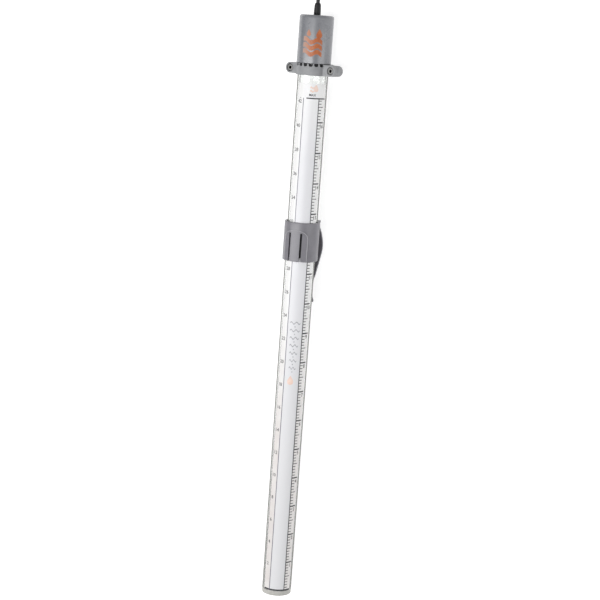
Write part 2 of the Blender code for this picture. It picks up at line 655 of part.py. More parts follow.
def make_arm(mats, hinge, hinge_place):
    """A strap of one thickness, lofted along its middle line, in its hinge's frame."""
    line = arm_line()
    spots = [Vector((0, radius, SLEEVE_TOP - drop)) for drop, radius, _ in line]
    bm = bmesh.new()
    rings = []
    for i, (spot, (_, _, width)) in enumerate(zip(spots, line)):
        ahead = (spots[min(i + 1, len(spots) - 1)] - spots[max(i - 1, 0)]).normalized()
        if i == 0:
            ahead = Vector((0, 0, -1))
        outward = Vector((0, -ahead.z, ahead.y)) * (ARM_THICKNESS / 2)
        across = Vector((width / 2, 0, 0))
        corners = (-across - outward, across - outward, across + outward, -across + outward)
        rings.append([bm.verts.new(spot + c - hinge_place) for c in corners])
    for first, second in zip(rings, rings[1:]):
        for i in range(4):
            j = (i + 1) % 4
            bm.faces.new((first[i], first[j], second[j], second[i]))
    bm.faces.new(rings[0])
    bm.faces.new(reversed(rings[-1]))
    return finish("clip_arm", bm, mats["clip"], hinge, 60)


# ---- lead ----
def make_cord(mats):
    poly_tube("cord", smooth_route(CORD_ROUTE, CORD_STEP), CORD_R, mats["cable"])
    poly_tube("cord_end", smooth_route(CORD_END_ROUTE, CORD_STEP), CORD_R, mats["cable"])


def rounded_section(across, low, high, edge, centre_r):
    """A rectangle with round corners, as (radius, height) points."""
    half = across / 2
    right, left = centre_r + half - edge, centre_r - half + edge
    foot, top = low + edge, high - edge
    corners = ((right, foot, -90), (right, top, 0), (left, top, 90), (left, foot, 180))
    points = []
    for radius, height, start in corners:
        for i in range(4):
            angle = math.radians(start + 30 * i)
            points.append((radius + edge * math.cos(angle), height + edge * math.sin(angle)))
    return points


def make_coil(mats):
    top = COIL_FOOT + COIL_HEIGHT
    section = rounded_section(COIL_ACROSS, COIL_FOOT, top, COIL_EDGE, COIL_R)
    turned("cord_coil", section, mats["cable"], None, MEDIUM_ROUND, (*COIL_CENTRE, 0))


def make_tie(mats):
    """A band round the bundle of turns. The coil rests on it."""
    hole_r = COIL_R - COIL_ACROSS / 2
    bulge = hole_r - math.sqrt(hole_r ** 2 - (TIE_WIDTH / 2) ** 2)  # the ring curves into the straight band
    low, high = COIL_FOOT - GAP, COIL_FOOT + COIL_HEIGHT + GAP
    across = COIL_ACROSS + 2 * (GAP + bulge)
    inner = rounded_section(across, low, high, COIL_EDGE, COIL_R)
    outer_across = across + 2 * TIE_WALL
    outer = rounded_section(outer_across, low - TIE_WALL, high + TIE_WALL, COIL_EDGE + TIE_WALL, COIL_R)
    place = empty("tie_place", None, (*COIL_CENTRE, 0), (0, 0, TIE_ANGLE))
    tie = prism("cord_tie", outer, -TIE_WIDTH / 2, TIE_WIDTH / 2, mats["rubber"], place, along="Y")
    cut(tie, prism("tie_opening", inner, -TIE_WIDTH, TIE_WIDTH, None, place, along="Y"))


def make_plug(mats):
    """The round plug lies beside the coil, pointing back towards the sensor."""
    end = Vector(CORD_END_ROUTE[-1])
    axis = empty("plug_axis", None, end - Vector((0, GAP, 0)), (math.radians(90), 0, 0))
    boot = [(0, 0), (BOOT_TIP_R, 0), (BOOT_R, BOOT_LENGTH), (0, BOOT_LENGTH)]
    turned("plug_boot", boot, mats["plug"], axis, SMALL_ROUND)
    low = BOOT_LENGTH + GAP
    grip_end = low + PLUG_SHELL_LENGTH
    rim = grip_end + PLUG_NOSE_LENGTH
    floor = low + PLUG_FLOOR
    nose_bore = PLUG_NOSE_R - PLUG_WALL
    shell = [(0, low), (PLUG_SHELL_R - GAP, low), (PLUG_SHELL_R, low + GAP), (PLUG_SHELL_R, grip_end),
             (PLUG_NOSE_R, grip_end), (PLUG_NOSE_R, rim), (nose_bore, rim), (nose_bore, floor), (0, floor)]
    turned("plug_shell", shell, mats["aluminium"], axis, SMALL_ROUND)
    face = rim - PLUG_RECESS
    foot, insert_r = floor + GAP, nose_bore - SEAT
    profile = [(0, foot), (insert_r, foot), (insert_r, face), (0, face)]
    insert = turned("plug_insert", profile, mats["plug"], axis, SMALL_ROUND)
    for i in range(PIN_COUNT):
        angle = 2 * math.pi * (i + 0.5) / PIN_COUNT
        centre = (PIN_CIRCLE_R * math.cos(angle), PIN_CIRCLE_R * math.sin(angle))
        add(insert, prism(f"pin_{i}", circle(PIN_R, 8, centre), face - GAP, face + PIN_LENGTH, None, axis))


def stand_on_ground(frame):
    """Moves the sensor so that the origin is under the middle of its bounding box."""
    bpy.context.view_layer.update()
    graph = bpy.context.evaluated_depsgraph_get()
    corners = []
    for obj in bpy.data.objects:
        if obj.type == "MESH" and not obj.hide_render:
            solid = obj.evaluated_get(graph)
            corners += [solid.matrix_world @ vertex.co for vertex in solid.data.vertices]
    low = [min(corner[i] for corner in corners) for i in range(3)]
    high = [max(corner[i] for corner in corners) for i in range(3)]
    frame.location = (-(low[0] + high[0]) / 2, -(low[1] + high[1]) / 2, -low[2])


def build():
    clear_scene()
    mats = make_materials()
    # The sensor rests on the arm's belly and on the lower corner of the turned pad.
    corner = PAD_REACH * math.cos(HEAD_TURN) + PAD_WIDTH / 2 * math.sin(abs(HEAD_TURN))
    span = (COLLAR_TOP - GAP) - (SLEEVE_TOP - ARM_BELLY_DROP)
    slope = math.atan2(ARM_BELLY - corner, span)
    frame = empty("sensor_frame", None, (0, 0, 0), (math.radians(-90) - slope, 0, 0))
    head = empty("head_frame", frame, (0, 0, 0), (0, 0, HEAD_TURN))
    slider = empty("slide_axis", frame)
    clip = empty("swivel_axis", slider)
    hinge_place = Vector((0, ARM_ROOT_R, ARM_TOP))
    hinge = empty("arm_hinge", clip, hinge_place)

    make_tube(mats, frame)
    make_film(mats, frame)
    make_collar_front(mats, head)
    make_collar_rear(mats, head)
    make_screws(mats, head)
    make_cap(mats, head)
    make_sensor_plug(mats, head)
    header_point = make_electronics(mats, head)
    make_strain_relief(mats, head, header_point)
    make_liner(mats, slider)
    make_sleeve(mats, clip)
    make_arm(mats, hinge, hinge_place)
    stand_on_ground(frame)
    make_cord(mats)
    make_coil(mats)
    make_tie(mats)
    make_plug(mats)


build()
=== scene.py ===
"""Liquid level sensor: clear measuring tube with a printed scale, grey sealed head, screwed
collar, sliding wall clip and thin coiled lead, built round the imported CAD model.

Most pieces are made in the tube's own frame, in millimetres: Z runs up the tube from its open
end, and an angle of 0 round it is -Y. SENSOR takes that frame to the world, in metres.
"""

import json
import math

import bmesh
import bpy
from mathutils import Matrix, Vector


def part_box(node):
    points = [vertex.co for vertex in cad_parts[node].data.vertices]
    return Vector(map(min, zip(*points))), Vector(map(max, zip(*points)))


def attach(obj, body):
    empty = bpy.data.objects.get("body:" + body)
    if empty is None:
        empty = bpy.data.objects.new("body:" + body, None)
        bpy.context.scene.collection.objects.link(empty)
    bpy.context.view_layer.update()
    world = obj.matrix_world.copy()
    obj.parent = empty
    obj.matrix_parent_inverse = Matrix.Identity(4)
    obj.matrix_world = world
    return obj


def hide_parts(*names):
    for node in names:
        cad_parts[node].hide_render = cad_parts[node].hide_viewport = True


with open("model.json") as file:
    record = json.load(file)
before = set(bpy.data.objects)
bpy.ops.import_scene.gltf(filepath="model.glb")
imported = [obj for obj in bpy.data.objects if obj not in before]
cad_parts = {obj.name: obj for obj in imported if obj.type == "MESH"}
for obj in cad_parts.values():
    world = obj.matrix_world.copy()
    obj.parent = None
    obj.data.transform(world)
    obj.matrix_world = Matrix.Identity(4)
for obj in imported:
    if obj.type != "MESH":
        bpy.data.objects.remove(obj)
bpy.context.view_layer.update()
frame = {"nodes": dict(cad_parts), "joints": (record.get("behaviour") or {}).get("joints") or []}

MM = 0.001

# ---- sizes of the CAD model, in millimetres ----
TUBE_R, TUBE_WALL, TUBE_LENGTH = 12.7, 1.6, 472.0
FILM_R, FILM_FOOT, FILM_TOP = 12.85, 4.6, 443.0
FILM_HALF_ANGLE, FILM_TURN = math.radians(58), math.radians(22)
HEAD_TURN = math.radians(-18)
SCREW_REACH, SCREW_HEIGHT, SOCKET_R = 21.1, 454.25, 1.5
CAP_R, CAP_BORE, CAP_FOOT, CAP_TOP = 14.25, 12.85, 459.3, 498.5
RELIEF_TIP = 508.3
SLEEVE_BORE, SLEEVE_R, SLEEVE_FOOT, SLEEVE_TOP = 13.57, 14.87, 294.8, 327.6
INCH, CENTIMETRE, ZERO = 25.4, 10.0, 5.0
MAX_MARK = 431.0
LEFT_LINE, RIGHT_LINE = -29.0, 30.0  # degrees round the film from the side that faces the camera


# ---- the sensor's own frame ----
def sensor_frame():
    slide = next(j for j in frame["joints"] if j["name"] == "clip_slide")
    along = Vector(slide["axis"]).normalized()
    across = Vector((1, 0, 0))
    behind = along.cross(across)
    pivot = Vector(slide["pos_m"])
    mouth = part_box("tube")[0][1] + TUBE_R * MM * abs(along.z)
    origin = pivot + along * ((mouth - pivot.y) / along.y)
    turn = Matrix((across, behind, along)).transposed().to_4x4()
    return Matrix.Translation(origin) @ turn @ Matrix.Scale(MM, 4)


SENSOR = sensor_frame()
HEAD = SENSOR @ Matrix.Rotation(HEAD_TURN, 4, "Z")
VIEW_TURN = math.radians(20)  # the side of the tube that faces the camera


def placed(name, data):
    """A new object in the scene."""
    made = bpy.data.objects.new(name, data)
    bpy.context.collection.objects.link(made)
    return made


def evaluated(piece):
    """A plain mesh of the piece, as its modifiers leave it."""
    bpy.context.view_layer.update()
    return bpy.data.meshes.new_from_object(piece.evaluated_get(bpy.context.evaluated_depsgraph_get()))


# ---- camera ----
LENS, SENSOR_WIDTH = 96, 36
CAMERA_OUT, CAMERA_HEIGHT = 1333.5, 507.9  # from the tube's axis, and up it from the mouth
AIM_ACROSS, AIM_HEIGHT = 2.6, 260.2
CAMERA_ROLL = math.radians(4.073)


def make_camera():
    side = Vector((math.cos(VIEW_TURN), math.sin(VIEW_TURN), 0))
    facing = Vector((math.sin(VIEW_TURN), -math.cos(VIEW_TURN), 0))
    place = SENSOR @ (facing * CAMERA_OUT + Vector((0, 0, CAMERA_HEIGHT)))
    target = SENSOR @ (side * AIM_ACROSS + Vector((0, 0, AIM_HEIGHT)))
    ahead = (target - place).normalized()
    up_tube = (SENSOR.to_3x3() @ Vector((0, 0, 1))).normalized()
    right = ahead.cross(up_tube).normalized()
    up = right.cross(ahead)
    turn = Matrix.Rotation(-CAMERA_ROLL, 3, ahead)
    right, up = turn @ right, turn @ up
    data = bpy.data.cameras.new("camera")
    data.lens, data.sensor_width = LENS, SENSOR_WIDTH
    camera = placed("camera", data)
    camera.matrix_world = Matrix.Translation(place) @ Matrix((right, up, -ahead)).transposed().to_4x4()
    bpy.context.scene.camera = camera


make_camera()


# ---- finishes ----
class Field:
    """A value that changes over a surface. An expression on it adds Math nodes."""

    def __init__(self, look, socket):
        self.look, self.socket = look, socket

    def maths(self, operation, *values):
        return self.look.node("ShaderNodeMath", {"operation": operation}, dict(enumerate(values)))

    def __add__(self, other):
        return self.maths("ADD", self, other)

    def __sub__(self, other):
        return self.maths("SUBTRACT", self, other)

    def __rsub__(self, other):
        return self.maths("SUBTRACT", other, self)

    def __mul__(self, other):
        return self.maths("MULTIPLY", self, other)

    def __gt__(self, other):
        return self.maths("GREATER_THAN", self, other)

    def __lt__(self, other):
        return self.maths("LESS_THAN", self, other)

    __radd__, __rmul__ = __add__, __mul__


class Look:
    """One finish: a material, or the world, and the nodes that make it."""

    def __init__(self, name, holder=None):
        self.holder = holder or bpy.data.materials.new(name)
        self.holder.use_nodes = True
        self.tree = self.holder.node_tree
        self.tree.nodes.clear()

    def node(self, kind, settings=None, inputs=None, output=0):
        made = self.tree.nodes.new(kind)
        for key, value in (settings or {}).items():
            if key == "stops":
                ramp = made.color_ramp
                while len(ramp.elements) < len(value):
                    ramp.elements.new(0.5)
                for element, (position, colour) in zip(ramp.elements, value):
                    element.position, element.color = position, (*colour, 1)
            else:
                setattr(made, key, value)
        for key, value in (inputs or {}).items():
            if isinstance(value, Field):
                self.tree.links.new(value.socket, made.inputs[key])
            else:
                made.inputs[key].default_value = value
        return Field(self, made.outputs[output])

    def spot(self, stretch=(1, 1, 1)):
        """Object coordinates, scaled along each axis."""
        place = self.node("ShaderNodeTexCoord", output="Object")
        return self.node("ShaderNodeMapping", None, {"Vector": place, "Scale": stretch})

    def axis(self, place, number):
        """One axis of a place: 0 is X, 1 is Y and 2 is Z."""
        return self.node("ShaderNodeSeparateXYZ", None, {0: place}, number)

    def noise(self, grain, detail=3.0, rough=0.55, stretch=(1, 1, 1)):
        """Noise whose blotches are about this many millimetres wide."""
        return self.node("ShaderNodeTexNoise", None,
                         {"Vector": self.spot(stretch), "Scale": 1 / (grain * MM), "Detail": detail,
                          "Roughness": rough})

    def ramp(self, value, *stops):
        return self.node("ShaderNodeValToRGB", {"stops": stops}, {"Fac": value})

    def spread(self, value, low, high, start=0.0, end=1.0):
        """value, taken from low..high to start..end and held there."""
        return self.node("ShaderNodeMapRange", None, {"Value": value, "From Min": low, "From Max": high,
                                                      "To Min": start, "To Max": end})

    def mix(self, share, first, second):
        first, second = ((*c, 1) if isinstance(c, tuple) else c for c in (first, second))
        return self.node("ShaderNodeMix", {"data_type": "RGBA"}, {"Factor": share, 6: first, 7: second}, 2)

    def bump(self, height, depth, strength):
        """Relief of this depth in millimetres."""
        inputs = {"Height": height, "Distance": depth * MM, "Strength": strength}
        return self.node("ShaderNodeBump", None, inputs)

    def shader(self, colour, roughness, normal=None, **constants):
        """A surface. Each constant goes on the socket of that name, with spaces for underscores."""
        inputs = {"Base Color": (*colour, 1) if isinstance(colour, tuple) else colour,
                  "Roughness": roughness}
        if normal:
            inputs["Normal"] = normal
        inputs.update({key.replace("_", " "): value for key, value in constants.items()})
        return self.node("ShaderNodeBsdfPrincipled", None, inputs)

    def blend(self, share, first, second):
        return self.node("ShaderNodeMixShader", None, {0: share, 1: first, 2: second})

    def done(self, surface, kind="ShaderNodeOutputMaterial"):
        out = self.tree.nodes.new(kind)
        self.tree.links.new(surface.socket, out.inputs["Surface"])
        return self.holder


def shade(colour, share):
    return tuple(min(1.0, c * share) for c in colour)


def moulded(name, colour, gloss, grain=0.35, relief=0.02, blotch=9.0, contrast=0.12, **constants):
    """Moulded plastic: slow shifts of tone, a fine cast texture and faint rubbed marks."""
    look = Look(name)
    slow = look.noise(blotch, 4)
    fine = look.noise(grain, 2, 0.6)
    rubbed = look.noise(2.4, 5, 0.7, (1, 0.18, 1))
    tone = look.mix(look.spread(slow, 0.3, 0.7), shade(colour, 1 - contrast), shade(colour, 1 + contrast))
    tone = look.mix(look.spread(fine, 0.35, 0.75, 0, 0.35), tone, shade(colour, 1.25))
    tone = look.mix(look.spread(rubbed, 0.62, 0.8, 0, 0.25), tone, shade(colour, 1.45))
    roughness = look.spread(slow, 0.2, 0.8, gloss - 0.06, gloss + 0.08) + look.spread(rubbed, 0.6, 0.8, 0, 0.1)
    relief_normal = look.bump(fine + rubbed * 0.4, relief, 0.6)
    return look.done(look.shader(tone, roughness, relief_normal, **constants))


def clear_acrylic():
    """Extruded acrylic: clear, with drawn streaks, dry water marks, grey edges of painted shade and a sanded
    mouth.
    """
    look = Look("clear_acrylic")
    streaks = look.noise(1.1, 4, 0.6, (1, 0.02, 1))
    marks = look.noise(6, 5, 0.65)
    normal = look.bump(streaks, 0.006, 0.35)
    roughness = look.spread(streaks, 0.3, 0.8, 0.0, 0.03) + look.spread(marks, 0.6, 0.75, 0, 0.12)
    clear_tint = look.mix(look.spread(marks, 0.3, 0.8), (0.97, 0.98, 0.97), (0.93, 0.94, 0.93))
    clear = look.shader(clear_tint, roughness, normal, Transmission_Weight=1.0, IOR=1.49)
    # Painted shade: a dark tint, mixed in by Layer Weight where the surface turns away from the view, for the
    # tube's grey edges.
    edge_shade_tint = look.mix(look.spread(streaks, 0.3, 0.7), (0.13, 0.135, 0.12), (0.22, 0.22, 0.20))
    edge = look.shader(edge_shade_tint, 0.25, normal, IOR=1.3, Specular_IOR_Level=0.2)
    facing = look.node("ShaderNodeLayerWeight", None, {"Blend": 0.5}, "Facing")
    share = look.spread(facing, 0.54, 0.66, 0.02, 0.96)
    body = look.blend(share, clear, edge)
    sanded_end = (SENSOR @ Vector((0, 0, 4.4))).y
    sanded = look.spread(look.axis(look.spot(), 1), sanded_end - 0.2 * MM, sanded_end + 0.2 * MM, 0.85, 0)
    frost_tint = look.mix(look.spread(marks, 0.3, 0.7), (0.50, 0.49, 0.46), (0.60, 0.59, 0.56))
    frost = look.shader(frost_tint, 0.5, look.bump(look.noise(0.3, 3), 0.02, 0.6), Specular_IOR_Level=0.3)
    return look.done(look.blend(sanded, body, frost))


def printed_film():
    """Satin film with its printed tints and painted shade, which follow its UV: degrees round the tube, and
    millimetres up. The bands are painted darker lower down, and the left band has darker cloudy patches low
    down, both as painted shade.
    """
    look = Look("printed_film")
    place = look.node("ShaderNodeUVMap", {"uv_map": "film"})
    across, up = look.axis(place, 0), look.axis(place, 1)
    weave = look.noise(0.5, 3)
    cloudy = look.noise(14, 4)
    left_line, right_line = (math.degrees(VIEW_TURN) + line for line in (LEFT_LINE, RIGHT_LINE))
    inside = (across > left_line) * (across < right_line)
    left = across < left_line
    # Painted shade: low is 1 below 130 mm and 0 above 260 mm, and the bands are painted darker where it is 1.
    low = look.spread(up, 130, 260, 1, 0)
    outer = look.mix(low, (0.86, 0.86, 0.855), (0.80, 0.775, 0.76))
    # Painted shade: darker cloudy patches on the left band, low down.
    outer = look.mix(left * look.spread(cloudy, 0.35, 0.7, 0, 0.6) * low, outer, (0.66, 0.60, 0.58))
    middle = look.mix(low, (0.755, 0.755, 0.78), (0.75, 0.75, 0.765))
    middle = look.mix(look.spread(up, 380, 440, 0, 0.75), middle, (0.88, 0.88, 0.88))
    tone = look.mix(inside, outer, middle)
    tone = look.mix(look.spread(weave, 0.35, 0.75, 0, 0.12), tone, (0.6, 0.6, 0.62))
    roughness = look.spread(cloudy, 0.3, 0.7, 0.28, 0.42)
    normal = look.bump(weave, 0.006, 0.5)
    return look.done(look.shader(tone, roughness, normal, Coat_Weight=0.1, Coat_Roughness=0.2,
                                 Specular_IOR_Level=0.25))


def print_ink(name, colour, worn, wear=0.35, grain=0.35):
    """Screen ink with thin and worn spots."""
    look = Look(name)
    thin = look.noise(grain, 4, 0.7)
    patch = look.noise(5, 3)
    tone = look.mix(look.spread(thin, 0.42, 0.75, 0, wear), colour, worn)
    tone = look.mix(look.spread(patch, 0.4, 0.7, 0, wear * 0.8), tone, worn)
    return look.done(look.shader(tone, look.spread(thin, 0.3, 0.7, 0.3, 0.5), look.bump(thin, 0.01, 0.4)))


def emblem_ink():
    """Orange ink with a painted highlight: it turns pale on its left side, where light falls on the cap."""
    look = Look("emblem_ink")
    across = look.axis(look.spot(), 0)
    thin = look.noise(0.5, 4, 0.7)
    patch = look.noise(3.5, 3, 0.6, (1, 0.5, 1))
    # Painted highlight: the ink turns pale towards the left of the sign, with a ragged edge.
    painted_glare = look.spread(across + patch * 0.004, -0.0045, 0.003, 1, 0)
    tone = look.mix(look.spread(patch, 0.35, 0.7), (0.40, 0.095, 0.02), (0.50, 0.15, 0.04))
    tone = look.mix(painted_glare * 0.92, tone, (0.46, 0.34, 0.29))
    tone = look.mix(look.spread(thin, 0.5, 0.75, 0, 0.3), tone, (0.5, 0.4, 0.36))
    return look.done(look.shader(tone, look.spread(thin, 0.3, 0.7, 0.34, 0.5), look.bump(thin, 0.01, 0.4)))


def drawn_metal(name, colour, gloss, stretch=(1, 0.05, 1)):
    """Turned or drawn metal with fine tool lines, stains and a few dull spots."""
    look = Look(name)
    lines = look.noise(0.25, 4, 0.6, stretch)
    stain = look.noise(3, 5, 0.65)
    tone = look.mix(look.spread(lines, 0.3, 0.7), shade(colour, 0.8), shade(colour, 1.1))
    tone = look.mix(look.spread(stain, 0.55, 0.8, 0, 0.4), tone, shade(colour, 0.55))
    roughness = look.spread(lines, 0.25, 0.75, gloss - 0.08, gloss + 0.12)
    roughness = roughness + look.spread(stain, 0.55, 0.8, 0, 0.15)
    return look.done(look.shader(tone, roughness, look.bump(lines, 0.01, 0.5), Metallic=1.0))


def soft_rubber(name, colour, gloss, stretch=(1, 1, 1)):
    """Matt rubber or cable jacket with bloom, dust and faint flow lines."""
    look = Look(name)
    bloom = look.noise(4, 4, 0.6, stretch)
    dust = look.noise(0.45, 3, 0.65)
    tone = look.mix(look.spread(bloom, 0.35, 0.7), colour, shade(colour, 2.1))
    tone = look.mix(look.spread(dust, 0.62, 0.8, 0, 0.3), tone, (0.14, 0.14, 0.145))
    roughness = look.spread(bloom, 0.3, 0.7, gloss - 0.08, gloss + 0.1)
    return look.done(look.shader(tone, roughness, look.bump(dust + bloom * 0.5, 0.015, 0.5),
                                 Specular_IOR_Level=0.3))


def green_laminate():
    """Glass laminate under green resist, with copper runs showing through it."""
    look = Look("green_laminate")
    weave = look.node("ShaderNodeTexWave", {"bands_direction": "DIAGONAL"},
                      {"Vector": look.spot(), "Scale": 900, "Distortion": 3, "Detail": 2}, 1)
    runs = look.node("ShaderNodeTexBrick", None,
                     {"Vector": look.spot(), "Scale": 300, "Mortar Size": 0.03}, 1)
    tone = look.mix(look.spread(weave, 0, 1), (0.012, 0.10, 0.04), (0.02, 0.15, 0.06))
    tone = look.mix(runs * 0.6, tone, (0.06, 0.26, 0.10))
    return look.done(look.shader(tone, look.spread(weave, 0, 1, 0.3, 0.42), look.bump(runs, 0.03, 0.6)))


LOOKS = {
    "acrylic": clear_acrylic(),
    "film": printed_film(),
    "cap": moulded("cap_plastic", (0.20, 0.205, 0.222), 0.27, 0.5, 0.01, 12, 0.08, Specular_IOR_Level=0.75),
    "collar": moulded("collar_plastic", (0.27, 0.275, 0.285), 0.5, 0.4, 0.05, 4, 0.14),
    "clip": moulded("clip_plastic", (0.185, 0.18, 0.20), 0.36, 0.5, 0.02, 7, 0.1),
    # Pale grey for the panel's edge bead: painted highlight.
    "bead": moulded("clip_edge_painted_highlight", (0.40, 0.40, 0.42), 0.4, 0.4, 0.02, 3, 0.1),
    "steel": drawn_metal("screw_steel", (0.29, 0.29, 0.285), 0.55),
    # Near-black for the walls and floor of the screw sockets: painted shade.
    "socket_shade": drawn_metal("socket_painted_shade", (0.006, 0.006, 0.007), 0.75),
    "rubber": soft_rubber("seal_rubber", (0.012, 0.012, 0.013), 0.62),
    "black": moulded("black_plastic", (0.014, 0.014, 0.016), 0.45, 0.4, 0.03, 5, 0.3, Specular_IOR_Level=0.3),
    "laminate": green_laminate(),
    "ivory": moulded("header_plastic", (0.66, 0.61, 0.50), 0.5, 0.3, 0.02, 3, 0.1),
    "aluminium": drawn_metal("can_aluminium", (0.72, 0.73, 0.75), 0.3),
    "jacket": soft_rubber("cable_jacket", (0.014, 0.014, 0.016), 0.42, (1, 0.3, 1)),
    "brass": drawn_metal("contact_plating", (0.78, 0.60, 0.26), 0.22),
    "dark_ink": print_ink("scale_ink", (0.02, 0.02, 0.024), (0.11, 0.11, 0.12)),
    "grey_ink": print_ink("soft_grey_ink", (0.07, 0.07, 0.075), (0.22, 0.22, 0.23), 0.4),
    "violet_ink": print_ink("left_line_ink", (0.13, 0.12, 0.16), (0.26, 0.24, 0.30), 0.4),
    "pale_ink": print_ink("pale_grey_ink", (0.34, 0.34, 0.37), (0.62, 0.62, 0.64), 0.7),
    "peach_ink": print_ink("peach_ink", (0.80, 0.56, 0.46), (0.90, 0.78, 0.72), 0.6),
    "emblem": emblem_ink(),
}


# ---- mesh tools ----
ON_AXIS = 1e-6  # millimetres from the axis, below which a turned point is on it


def polish(name, bm, look, body, slot, *stands_for, place=SENSOR, sharp=32, recalculate=True):
    """Writes the bmesh to a finished piece, placed in the world, that rides on a body."""
    if recalculate:
        bmesh.ops.recalc_face_normals(bm, faces=bm.faces)
    bm.transform(place)
    mesh = bpy.data.meshes.new(name)
    bm.to_mesh(mesh)
    bm.free()
    mesh.materials.append(LOOKS[look])
    mesh.shade_smooth()
    mesh.set_sharp_from_angle(angle=math.radians(sharp))
    return hand_over(placed(name, mesh), body, slot, *stands_for)


def hand_over(piece, body, slot, *stands_for):
    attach(piece, body)
    if stands_for:
        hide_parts(*stands_for)
    return piece


def fillet(points, radius=0.3, steps=4, closed=True):
    """Rounds the corners of (a, b) points. A third number is that corner's own radius."""
    rounded, count = [], len(points)
    for i, point in enumerate(points):
        corner = Vector(point[:2])
        reach = point[2] if len(point) > 2 else radius
        if reach == 0 or (not closed and i in (0, count - 1)):
            rounded.append(tuple(corner))
            continue
        back = Vector(points[i - 1][:2]) - corner
        ahead = Vector(points[(i + 1) % count][:2]) - corner
        bend = back.angle(ahead)
        if bend > math.radians(176):
            rounded.append(tuple(corner))
            continue
        cut = min(reach / math.tan(bend / 2), 0.48 * back.length, 0.48 * ahead.length)
        start, end = corner + back.normalized() * cut, corner + ahead.normalized() * cut
        for k in range(steps + 1):
            t = k / steps
            rounded.append(tuple(start * (1 - t) ** 2 + corner * 2 * t * (1 - t) + end * t * t))
    return rounded


def bridge(bm, first, second):
    """Faces between two rings of as many points."""
    for i in range(len(first)):
        j = (i + 1) % len(first)
        bm.faces.new((first[i], first[j], second[j], second[i]))


def skin(bm, rings):
    """A closed skin over rings of points, with flat ends."""
    for first, second in zip(rings, rings[1:]):
        bridge(bm, first, second)
    bm.faces.new(rings[0])
    bm.faces.new(list(reversed(rings[-1])))


def lathe(bm, profile, sides):
    """Turns (radius, height) points round Z. A profile that starts off the axis makes a ring."""
    turns = [2 * math.pi * i / sides for i in range(sides)]
    rings = []
    for radius, height in profile:
        spots = [(radius * math.cos(a), radius * math.sin(a), height) for a in turns]
        rings.append([bm.verts.new(spot) for spot in (spots if radius > ON_AXIS else spots[:1])])
    after = rings[1:] + (rings[:1] if profile[0][0] > ON_AXIS else [])
    for first, second in zip(rings, after):
        if len(first) == len(second):
            bridge(bm, first, second)
            continue
        for i in range(sides):
            j = (i + 1) % sides
            if len(first) == 1:
                bm.faces.new((first[0], second[j], second[i]))
            else:
                bm.faces.new((first[i], first[j], second[0]))


def prism(bm, outline, low, high, place=Matrix.Identity(4)):
    """An outline of (x, y) points, extruded along Z."""
    foot = [bm.verts.new(place @ Vector((a, b, low))) for a, b in outline]
    top = [bm.verts.new(place @ Vector((a, b, high))) for a, b in outline]
    bm.faces.new(foot)
    bm.faces.new(reversed(top))
    for i in range(len(outline)):
        j = (i + 1) % len(outline)
        bm.faces.new((foot[i], top[i], top[j], foot[j]))


def carved(blank, unions=(), cuts=()):
    """The blank bmesh with others joined to it and cut from it."""
    made = []

    def as_object(bm):
        bmesh.ops.recalc_face_normals(bm, faces=bm.faces)
        mesh = bpy.data.meshes.new("tool")
        bm.to_mesh(mesh)
        bm.free()
        made.append(placed("tool", mesh))
        return made[-1]

    target = as_object(blank)
    for tools, operation in ((unions, "UNION"), (cuts, "DIFFERENCE")):
        for bm in tools:
            change = target.modifiers.new("carve", "BOOLEAN")
            change.operation, change.solver = operation, "EXACT"
            change.object = as_object(bm)
    mesh = evaluated(target)
    bm = bmesh.new()
    bm.from_mesh(mesh)
    bpy.data.meshes.remove(mesh)
    for tool in made:
        data = tool.data
        bpy.data.objects.remove(tool)
        bpy.data.meshes.remove(data)
    bmesh.ops.remove_doubles(bm, verts=bm.verts, dist=1e-4)
    return bm


ROUTE_STEPS = 40  # between one point of a route and the next, before it is evened out


def smooth_route(points, step):
    """Points a step apart on the smooth curve through the route's own points."""
    points = [Vector(p) for p in points]
    ends = [2 * points[0] - points[1]] + points + [2 * points[-1] - points[-2]]
    fine = [points[0]]
    for a, b, c, d in zip(ends, ends[1:], ends[2:], ends[3:]):
        for i in range(1, ROUTE_STEPS + 1):
            t = i / ROUTE_STEPS
            fine.append(0.5 * ((2 * b) + (c - a) * t + (2 * a - 5 * b + 4 * c - d) * t * t
                               + (3 * b - a - 3 * c + d) * t ** 3))
    length = sum((b - a).length for a, b in zip(fine, fine[1:]))
    count = max(2, round(length / step))
    even, walked, target = [fine[0]], 0.0, length / count
    for a, b in zip(fine, fine[1:]):
        stretch = (b - a).length
        while walked + stretch >= target * len(even) and len(even) < count:
            even.append(a.lerp(b, (target * len(even) - walked) / stretch))
        walked += stretch
    return even + [fine[-1]]


# ---- lead ----
CORD_R = 1.6 * MM
CORD_ROUTE = (
    (-0.0003, 0.2545, 0.0182),
    (-0.0003, 0.2615, 0.0180),
    (-0.0013, 0.2715, 0.0147),
    (-0.0036, 0.2815, 0.0082),
    (-0.0055, 0.2900, 0.0027),
    (-0.0060, 0.2988, 0.0019),
)
CORD_END_ROUTE = (
    (0.0317, 0.3361, 0.0117),
    (0.0401, 0.3361, 0.0107),
    (0.0500, 0.3320, 0.0083),
    (0.0541, 0.3225, 0.0059),
    (0.0541, 0.3160, 0.0053),
)
COIL_CENTRE = Vector((0.0181, 0.3120, 0))
COIL_R = 19.0  # millimetres, at the middle of the turns
COIL_LAYERS = (  # height of each layer, and each turn's place across the coil, in millimetres
    (2.5, (5.1, 1.7, -1.7, -5.1)),
    (5.7, (-3.4, 0.0, 3.4)),
    (8.9, (5.1, 1.7, -1.7, -5.1)),
    (12.1, (-3.4, 0.0, 3.4)),
)
COIL_TURNS, TURN_POINTS = 14.25, 32
LEAD_STEP, CLOSEST = 0.004, 0.0012  # metres between the lead's points, and the least that is kept
TIE_TURN = math.radians(-35)
